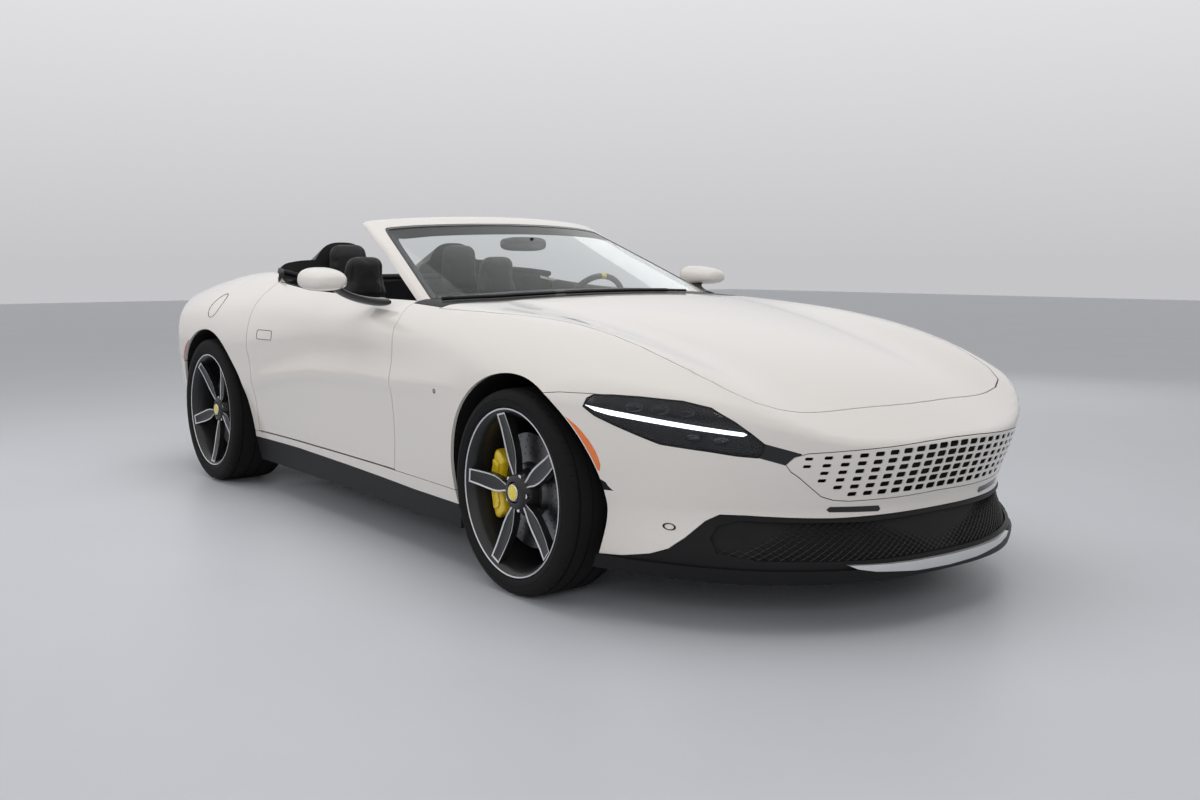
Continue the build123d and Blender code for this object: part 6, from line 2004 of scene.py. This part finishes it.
RAKE = math.radians(22)                  # how far the steering column rises backwards
WHEEL_AXIS = Vector((-math.cos(RAKE), 0, math.sin(RAKE)))
WHEEL_SIDE = Vector((0, 1, 0))
WHEEL_FRAME = (Vector((0.030, SEAT_Y, 0.862)), WHEEL_AXIS, WHEEL_SIDE, WHEEL_SIDE.cross(WHEEL_AXIS))


def build_carpet():
    """Carpet over the floor, the tunnel and the sills, in one profile run along the cabin."""
    bm = bmesh.new()
    floor = [(0.001, 0.4065), (0.100, 0.4065), (0.1135, 0.400), (0.1165, 0.385), (0.1165, 0.215),
             (0.124, 0.1965), (0.150, 0.1935), (0.660, 0.1935), (0.688, 0.197), (0.6965, 0.215),
             (0.6965, 0.290), (0.701, 0.303), (0.712, 0.3085), (0.772, 0.3085)]
    for s in (1, -1):
        def carpet(u, v, s=s):
            y, z = track_to_ends(floor, v)
            return -0.900 + 1.494 * u, s * y, z
        sheet(bm, 60, 70, carpet)
        sheet(bm, 30, 30, lambda u, v, s=s: (0.594 - 0.030 * (1 - v) ** 3, s * (0.118 + 0.576 * u),
                                             0.195 + 0.36 * v))
        sheet(bm, 30, 30, lambda u, v, s=s: (-0.895 + 0.008 * (1 - v) ** 3, s * (0.118 + 0.576 * u),
                                             0.195 + 0.22 * v))
    face_outwards(bm)
    piece = finish_mesh("cabin_carpet", bm, "body", "carpet", 50)
    add_wall(piece, 0.002, 0.0)


def build_dashboard():
    """Padded top with two cowls and a knee roll."""
    section = [(0.575, 0.900), (0.480, 0.912), (0.380, 0.922), (0.300, 0.925), (0.240, 0.912), (0.212, 0.885),
               (0.204, 0.850), (0.214, 0.815), (0.232, 0.800), (0.224, 0.790), (0.200, 0.760), (0.198, 0.700),
               (0.220, 0.640), (0.262, 0.590), (0.330, 0.562), (0.560, 0.560)]
    bm = bmesh.new()

    def dash(u, v):
        y = (2 * u - 1) * 0.694
        x, z = track_to_ends(section, v)
        hood = 0.034 * math.exp(-((y - SEAT_Y) / 0.17) ** 4) + 0.012 * math.exp(-((y + SEAT_Y) / 0.20) ** 4)
        top = 1 / (1 + math.exp(-(z - 0.860) / 0.012))
        x_fade = math.exp(-((x - 0.27) / 0.13) ** 2)
        z += hood * top * x_fade
        x -= 0.030 * math.exp(-((y - SEAT_Y) / 0.16) ** 4) * top * x_fade
        x += 0.020 * math.exp(-(y / 0.11) ** 4) * (1 - top)
        edge = max(0, (abs(y) - 0.66) / 0.034)
        return x + 0.02 * edge ** 2, y, z - 0.010 * edge ** 2 * top
    sheet(bm, 120, 110, dash)
    face_outwards(bm)
    piece = finish_mesh("dashboard_pad", bm, "body", "leather", 60, ("dashboard",))
    add_wall(piece, 0.004, -1)


def build_dashboard_fittings():
    """Displays, air vents, and the steering column's shroud with its stalks."""
    bm = bmesh.new()

    def plate(y0, y1, z0, z1, x_at, lean, material, swell=0.002):
        def at(u, v):
            c, n = rounded(2 * math.pi * v, 6.0)
            y = (y0 + y1) / 2 + (y1 - y0) / 2 * c * max(u, 1e-4)
            z = (z0 + z1) / 2 + (z1 - z0) / 2 * n * max(u, 1e-4)
            return x_at + lean * (z - z0) - swell * (1 - u * u), y, z
        faces = sheet(bm, 8, 48, at, wrap=True, material=material)[1]
        bmesh.ops.solidify(bm, geom=faces, thickness=0.004)
    plate(0.245, 0.515, 0.835, 0.925, 0.1985, 0.10, 1)      # driver's display
    plate(-0.115, 0.115, 0.700, 0.845, 0.206, 0.05, 1)      # centre display
    plate(-0.520, -0.240, 0.838, 0.872, 0.2010, 0.10, 1)    # passenger's display
    for y in (-0.60, -0.165, 0.165, 0.60):
        for k in range(5):
            plate(y - 0.045, y + 0.045, 0.752 + 0.012 * k, 0.760 + 0.012 * k, 0.186, 0.0, 2, swell=0.0)
        plate(y - 0.052, y + 0.052, 0.746, 0.820, 0.1925, 0.0, 0)
    wheel, axis, side, up = WHEEL_FRAME

    def shroud(u, v):
        c, n = rounded(2 * math.pi * v, 2.6)
        p = wheel - axis * (0.052 + 0.165 * u) + side * (0.036 + 0.010 * u) * c + up * (0.034 + 0.014 * u) * n
        return tuple(p)
    tube(bm, 12, 40, shroud)
    for s in (1, -1):
        def stalk(u, v, s=s):
            a = 2 * math.pi * v
            p = wheel - axis * 0.085 + side * s * (0.030 + 0.110 * u) + up * (0.012 + 0.010 * u)
            return tuple(p + up * (0.0085 + 0.003 * u) * math.sin(a) + axis * 0.007 * math.cos(a))
        tube(bm, 12, 16, stalk, 2)
    face_outwards(bm)
    finish_mesh("dashboard_fittings", bm, "body", ["trim", "screen", "silver"], 40)


def build_steering_wheel():
    """Rim with a marker at its top, hub, three spokes and two paddles."""
    wheel, axis, side, up = WHEEL_FRAME
    bm = bmesh.new()

    def on_wheel(a, b, c):
        return tuple(wheel + side * a + up * b + axis * c)

    def rim_at(u, v):
        t, a = 2 * math.pi * u, 2 * math.pi * v
        flat = 0.006 * max(0, -math.sin(t)) ** 6
        grip = 0.0135 + 0.0016 * math.exp(-((abs(math.cos(t)) - 0.93) / 0.10) ** 2)
        r = 0.1655 - flat + grip * math.cos(a)
        return on_wheel(r * math.cos(t), r * math.sin(t), grip * 1.05 * math.sin(a))
    faces = sheet(bm, 120, 18, rim_at, wrap=True)[1]
    for f in faces:
        if f.is_valid:
            c = f.calc_center_median() - wheel
            angle = math.degrees(math.atan2(c.dot(up), c.dot(side)))
            if abs(angle - 90) < 4.5:
                f.material_index = 1
    bmesh.ops.remove_doubles(bm, verts=bm.verts, dist=1e-6)

    def hub(u, v):
        c, n = rounded(2 * math.pi * v, 2.8)
        r = 0.062 * math.sin(math.pi / 2 * min(1, u * 1.15))
        return on_wheel(r * c * 1.12, r * n * 0.92, 0.016 - 0.020 * u ** 3)
    sheet(bm, 16, 48, hub, wrap=True, material=0)
    for t in (0, math.pi, -math.pi / 2):
        def spoke(u, v, t=t):
            c, n = rounded(2 * math.pi * v, 3.0)
            r = 0.050 + 0.106 * u
            w = 0.019 - 0.006 * math.sin(math.pi * u)
            across = w * c
            depth = 0.002 + 0.0075 * n - 0.004 * u
            return on_wheel(r * math.cos(t) - across * math.sin(t), r * math.sin(t) + across * math.cos(t),
                            depth)
        tube(bm, 16, 20, spoke, 2)
    for s in (1, -1):
        def paddle(u, v, s=s):
            c, n = rounded(2 * math.pi * v, 4.0)
            return on_wheel(s * (0.098 + 0.020 * c * (0.4 + 0.6 * u)), 0.010 + 0.075 * (2 * u - 1),
                            -0.030 + 0.0022 * n)
        tube(bm, 16, 16, paddle, 3)
    face_outwards(bm)
    finish_mesh("steering_rim", bm, "steering_wheel", ["leather", "accent", "gloss", "cut"], 50,
                ("steering_wheel",))


def build_console():
    """Centre console with an armrest, a selector plate and two cups."""
    bm = bmesh.new()
    spine = [(-0.775, 0.555), (-0.60, 0.566), (-0.33, 0.574), (-0.26, 0.570), (-0.10, 0.592), (0.05, 0.645),
             (0.165, 0.692), (0.188, 0.690)]

    def console(u, v):
        x, z = track_to_ends(spine, u)
        width = 0.116 - 0.012 * math.sin(math.pi * u)
        line = [(0.0, 0.0), (0.70, 0.001), (0.90, -0.006), (1.0, -0.030), (1.0, -0.16)]
        t = abs(2 * v - 1)
        yy, dz = track_to_ends(line, t)
        low = 0.404
        zz = z + dz if t < 0.75 else (z + dz) + (low - (z - 0.16)) * ((t - 0.75) / 0.25)
        pad = 0.016 * math.exp(-((x + 0.56) / 0.20) ** 6) * math.exp(-(yy / 0.75) ** 6)
        return x, math.copysign(yy * width, 2 * v - 1), zz + pad
    sheet(bm, 90, 60, console)
    bmesh.ops.holes_fill(bm, edges=[e for e in bm.edges if e.is_boundary], sides=0)
    face_outwards(bm)

    def on_console(x):
        return float(np.interp(x, [p[0] for p in spine], [p[1] for p in spine]))
    for x0, x1, half, m in ((-0.06, 0.10, 0.060, 1), (-0.27, -0.09, 0.052, 1), (0.105, 0.160, 0.060, 1)):
        def pad(u, v, x0=x0, x1=x1, half=half):
            c, n = rounded(2 * math.pi * v, 5.0)
            x = (x0 + x1) / 2 + (x1 - x0) / 2 * c * max(u, 1e-4)
            return x, half * n * max(u, 1e-4), on_console(x) + 0.0032
        faces = sheet(bm, 8, 44, pad, wrap=True, material=m)[1]
        bmesh.ops.solidify(bm, geom=faces, thickness=0.005)
    # Two cup holders, each a ring and a well only 3 mm deep whose floor is near-black painted shade.
    for x in (-0.225, -0.140):
        made = bmesh.ops.create_circle(bm, cap_ends=True, segments=40, radius=0.034)["verts"]
        bmesh.ops.translate(bm, verts=made, vec=(x, 0, on_console(x) + 0.0040))
        disc = faces_of(made)
        ring = bmesh.ops.inset_region(bm, faces=disc, thickness=0.003)["faces"]
        bmesh.ops.translate(bm, verts=list({v for f in disc for v in f.verts}), vec=(0, 0, -0.003))
        mark_faces(ring, 2)
        mark_faces(disc, 3)
    for k, (x, y) in enumerate(((-0.02, 0.03), (-0.02, -0.03), (0.02, 0.0), (0.06, 0.03), (0.06, -0.03),
                                (0.13, 0.035), (0.13, 0.0), (0.13, -0.035))):
        made = bmesh.ops.create_cone(bm, cap_ends=True, segments=20, radius1=0.009, radius2=0.008,
                                     depth=0.008)["verts"]
        bmesh.ops.translate(bm, verts=made, vec=(x, y, on_console(x) + 0.0075))
        mark_faces(faces_of(made), 2)
    finish_mesh("console_cover", bm, "body", ["leather", "gloss", "silver", "dark"], 45, ("console",))


def build_pedals():
    bm = bmesh.new()
    for y, w, z in ((0.50, 0.030, 0.32), (0.42, 0.045, 0.36), (0.62, 0.045, 0.30)):
        def pedal(u, v, y=y, w=w, z=z):
            c, n = rounded(2 * math.pi * v, 4.0)
            return 0.520 + 0.03 * u + 0.004 * n, y + w * c, z + 0.11 * (u - 0.5)
        tube(bm, 12, 24, pedal)
    face_outwards(bm)
    finish_mesh("pedals", bm, "body", "cut", 40)


def build_collar():
    """Collar behind the rear seats and trimmed side cards beside them."""
    bm = bmesh.new()
    for s in (1, -1):
        line = [(-0.905, 0.786), (-0.960, 0.742), (-1.060, 0.704), (-1.135, 0.690), (-1.147, 0.640),
                (-1.147, 0.400), (-1.147, 0.010)]

        def collar(u, v, s=s):
            x, y = track_to_ends(line, u)
            top = top_at(x, y) - 0.004
            pad = math.sin(math.pi * v)
            return (x + (0.006 + 0.012 * pad) * (1 if y < 0.70 else 0.2), s * (y - 0.006 - 0.010 * pad),
                    0.400 + (top - 0.400) * v)
        sheet(bm, 80, 24, collar)

        def roll(u, v, s=s):
            x, y = track_to_ends(line, u)
            top = top_at(x, y)
            a = 2 * math.pi * v
            return (x + 0.006 + 0.010 * math.cos(a), s * (y - 0.008 + 0.006 * math.cos(a)),
                    top + 0.002 + 0.012 * math.sin(a))
        tube(bm, 80, 14, roll)
    face_outwards(bm)
    piece = finish_mesh("rear_collar", bm, "body", "leather", 50)
    add_wall(piece, 0.003, 0.0)


def build_cabin():
    for build in (build_carpet, build_dashboard, build_dashboard_fittings, build_steering_wheel,
                  build_console, build_pedals, build_collar):
        build()


# ------------------------------------------------------------------ settings, operators and panel
class FinishSettings(bpy.types.PropertyGroup):
    """Colours of the finishes."""
    body_colour: bpy.props.FloatVectorProperty(name="Body", description="Colour of the painted panels",
                                               subtype="COLOR", size=3, default=(0.76, 0.718, 0.674), min=0,
                                               max=1)
    accent_colour: bpy.props.FloatVectorProperty(name="Accent",
                                                 description="Colour of the piping and wheel caps",
                                                 subtype="COLOR", size=3, default=(0.86, 0.68, 0.02), min=0,
                                                 max=1)
    caliper_colour: bpy.props.FloatVectorProperty(name="Caliper", description="Colour of the brake calipers",
                                                  subtype="COLOR", size=3, default=(0.88, 0.62, 0.01), min=0,
                                                  max=1)


class StageSettings(bpy.types.PropertyGroup):
    """Light on the stage."""
    key_power: bpy.props.FloatProperty(name="Overhead", description="Power of the overhead softbox",
                                       unit="POWER", default=100.0, min=0)
    fill_power: bpy.props.FloatProperty(name="Fill", description="Power of the front softbox", unit="POWER",
                                        default=82.0, min=0)
    world_strength: bpy.props.FloatProperty(name="World", description="Strength of the surrounding light",
                                            default=0.38, min=0)


class RoadsterOperator:
    bl_options = {"REGISTER", "UNDO"}


class ROADSTER_OT_materials(RoadsterOperator, bpy.types.Operator):
    """Make every finish"""
    bl_idname = "roadster.materials"
    bl_label = "Finishes"

    def execute(self, context):
        make_materials(context.scene.roadster_finish)
        return {"FINISHED"}


class ROADSTER_OT_stage(RoadsterOperator, bpy.types.Operator):
    """Set up the floor, the lights and the camera"""
    bl_idname = "roadster.stage"
    bl_label = "Stage"

    def execute(self, context):
        build_stage(context.scene.roadster_stage)
        return {"FINISHED"}


class ROADSTER_OT_panels(RoadsterOperator, bpy.types.Operator):
    """Build the painted outer panels"""
    bl_idname = "roadster.panels"
    bl_label = "Outer panels"

    def execute(self, context):
        build_panels()
        return {"FINISHED"}


class ROADSTER_OT_nose(RoadsterOperator, bpy.types.Operator):
    """Build the grille, the intake, the lamps and the splitter"""
    bl_idname = "roadster.nose"
    bl_label = "Nose and lamps"

    def execute(self, context):
        build_nose()
        return {"FINISHED"}


class ROADSTER_OT_wheels(RoadsterOperator, bpy.types.Operator):
    """Build the tyres, the spoked rims and the brakes"""
    bl_idname = "roadster.wheels"
    bl_label = "Wheels"

    def execute(self, context):
        build_tyres()
        build_rims()
        build_brakes()
        build_calipers()
        return {"FINISHED"}


class ROADSTER_OT_screen(RoadsterOperator, bpy.types.Operator):
    """Build the windscreen, its surround, the mirrors and the wipers"""
    bl_idname = "roadster.screen"
    bl_label = "Windscreen and mirrors"

    def execute(self, context):
        build_screen()
        build_door_mirrors()
        return {"FINISHED"}


class ROADSTER_OT_doors(RoadsterOperator, bpy.types.Operator):
    """Build the doors' frames and inner cards and the rear deck"""
    bl_idname = "roadster.doors"
    bl_label = "Doors and deck"

    def execute(self, context):
        build_doors()
        build_deck()
        return {"FINISHED"}


class ROADSTER_OT_trims(RoadsterOperator, bpy.types.Operator):
    """Build the tail, the skirts and the small trims"""
    bl_idname = "roadster.trims"
    bl_label = "Tail and trims"

    def execute(self, context):
        build_tail()
        build_trims()
        finish_nodes()
        return {"FINISHED"}


class ROADSTER_OT_seats(RoadsterOperator, bpy.types.Operator):
    """Build the four padded seats"""
    bl_idname = "roadster.seats"
    bl_label = "Seats"

    def execute(self, context):
        build_front_seats()
        build_rear_seats()
        return {"FINISHED"}


class ROADSTER_OT_cabin(RoadsterOperator, bpy.types.Operator):
    """Build the dashboard, the steering wheel, the console and the linings"""
    bl_idname = "roadster.cabin"
    bl_label = "Cabin"

    def execute(self, context):
        build_cabin()
        return {"FINISHED"}


STEPS = (ROADSTER_OT_stage, ROADSTER_OT_materials, ROADSTER_OT_panels, ROADSTER_OT_nose, ROADSTER_OT_wheels,
         ROADSTER_OT_screen, ROADSTER_OT_doors, ROADSTER_OT_trims, ROADSTER_OT_seats, ROADSTER_OT_cabin)


class ROADSTER_PT_sidebar(bpy.types.Panel):
    """Buttons and settings of the roadster"""
    bl_idname = "ROADSTER_PT_sidebar"
    bl_label = "Roadster"
    bl_space_type = "VIEW_3D"
    bl_region_type = "UI"
    bl_category = "Roadster"

    def draw(self, context):
        for settings in (context.scene.roadster_finish, context.scene.roadster_stage):
            box = self.layout.box()
            for name in settings.bl_rna.properties.keys():
                if name not in ("rna_type", "name"):
                    box.prop(settings, name)
        for step in STEPS:
            self.layout.operator(step.bl_idname)


CLASSES = (FinishSettings, StageSettings, *STEPS, ROADSTER_PT_sidebar)


def register():
    for c in CLASSES:
        bpy.utils.register_class(c)
    bpy.types.Scene.roadster_finish = bpy.props.PointerProperty(type=FinishSettings)
    bpy.types.Scene.roadster_stage = bpy.props.PointerProperty(type=StageSettings)


def unregister():
    del bpy.types.Scene.roadster_stage
    del bpy.types.Scene.roadster_finish
    for c in reversed(CLASSES):
        bpy.utils.unregister_class(c)


def main():
    register()
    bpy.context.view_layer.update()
    for step in STEPS:
        area, name = step.bl_idname.split(".")
        getattr(getattr(bpy.ops, area), name)()


if __name__ == "__main__":
    main()
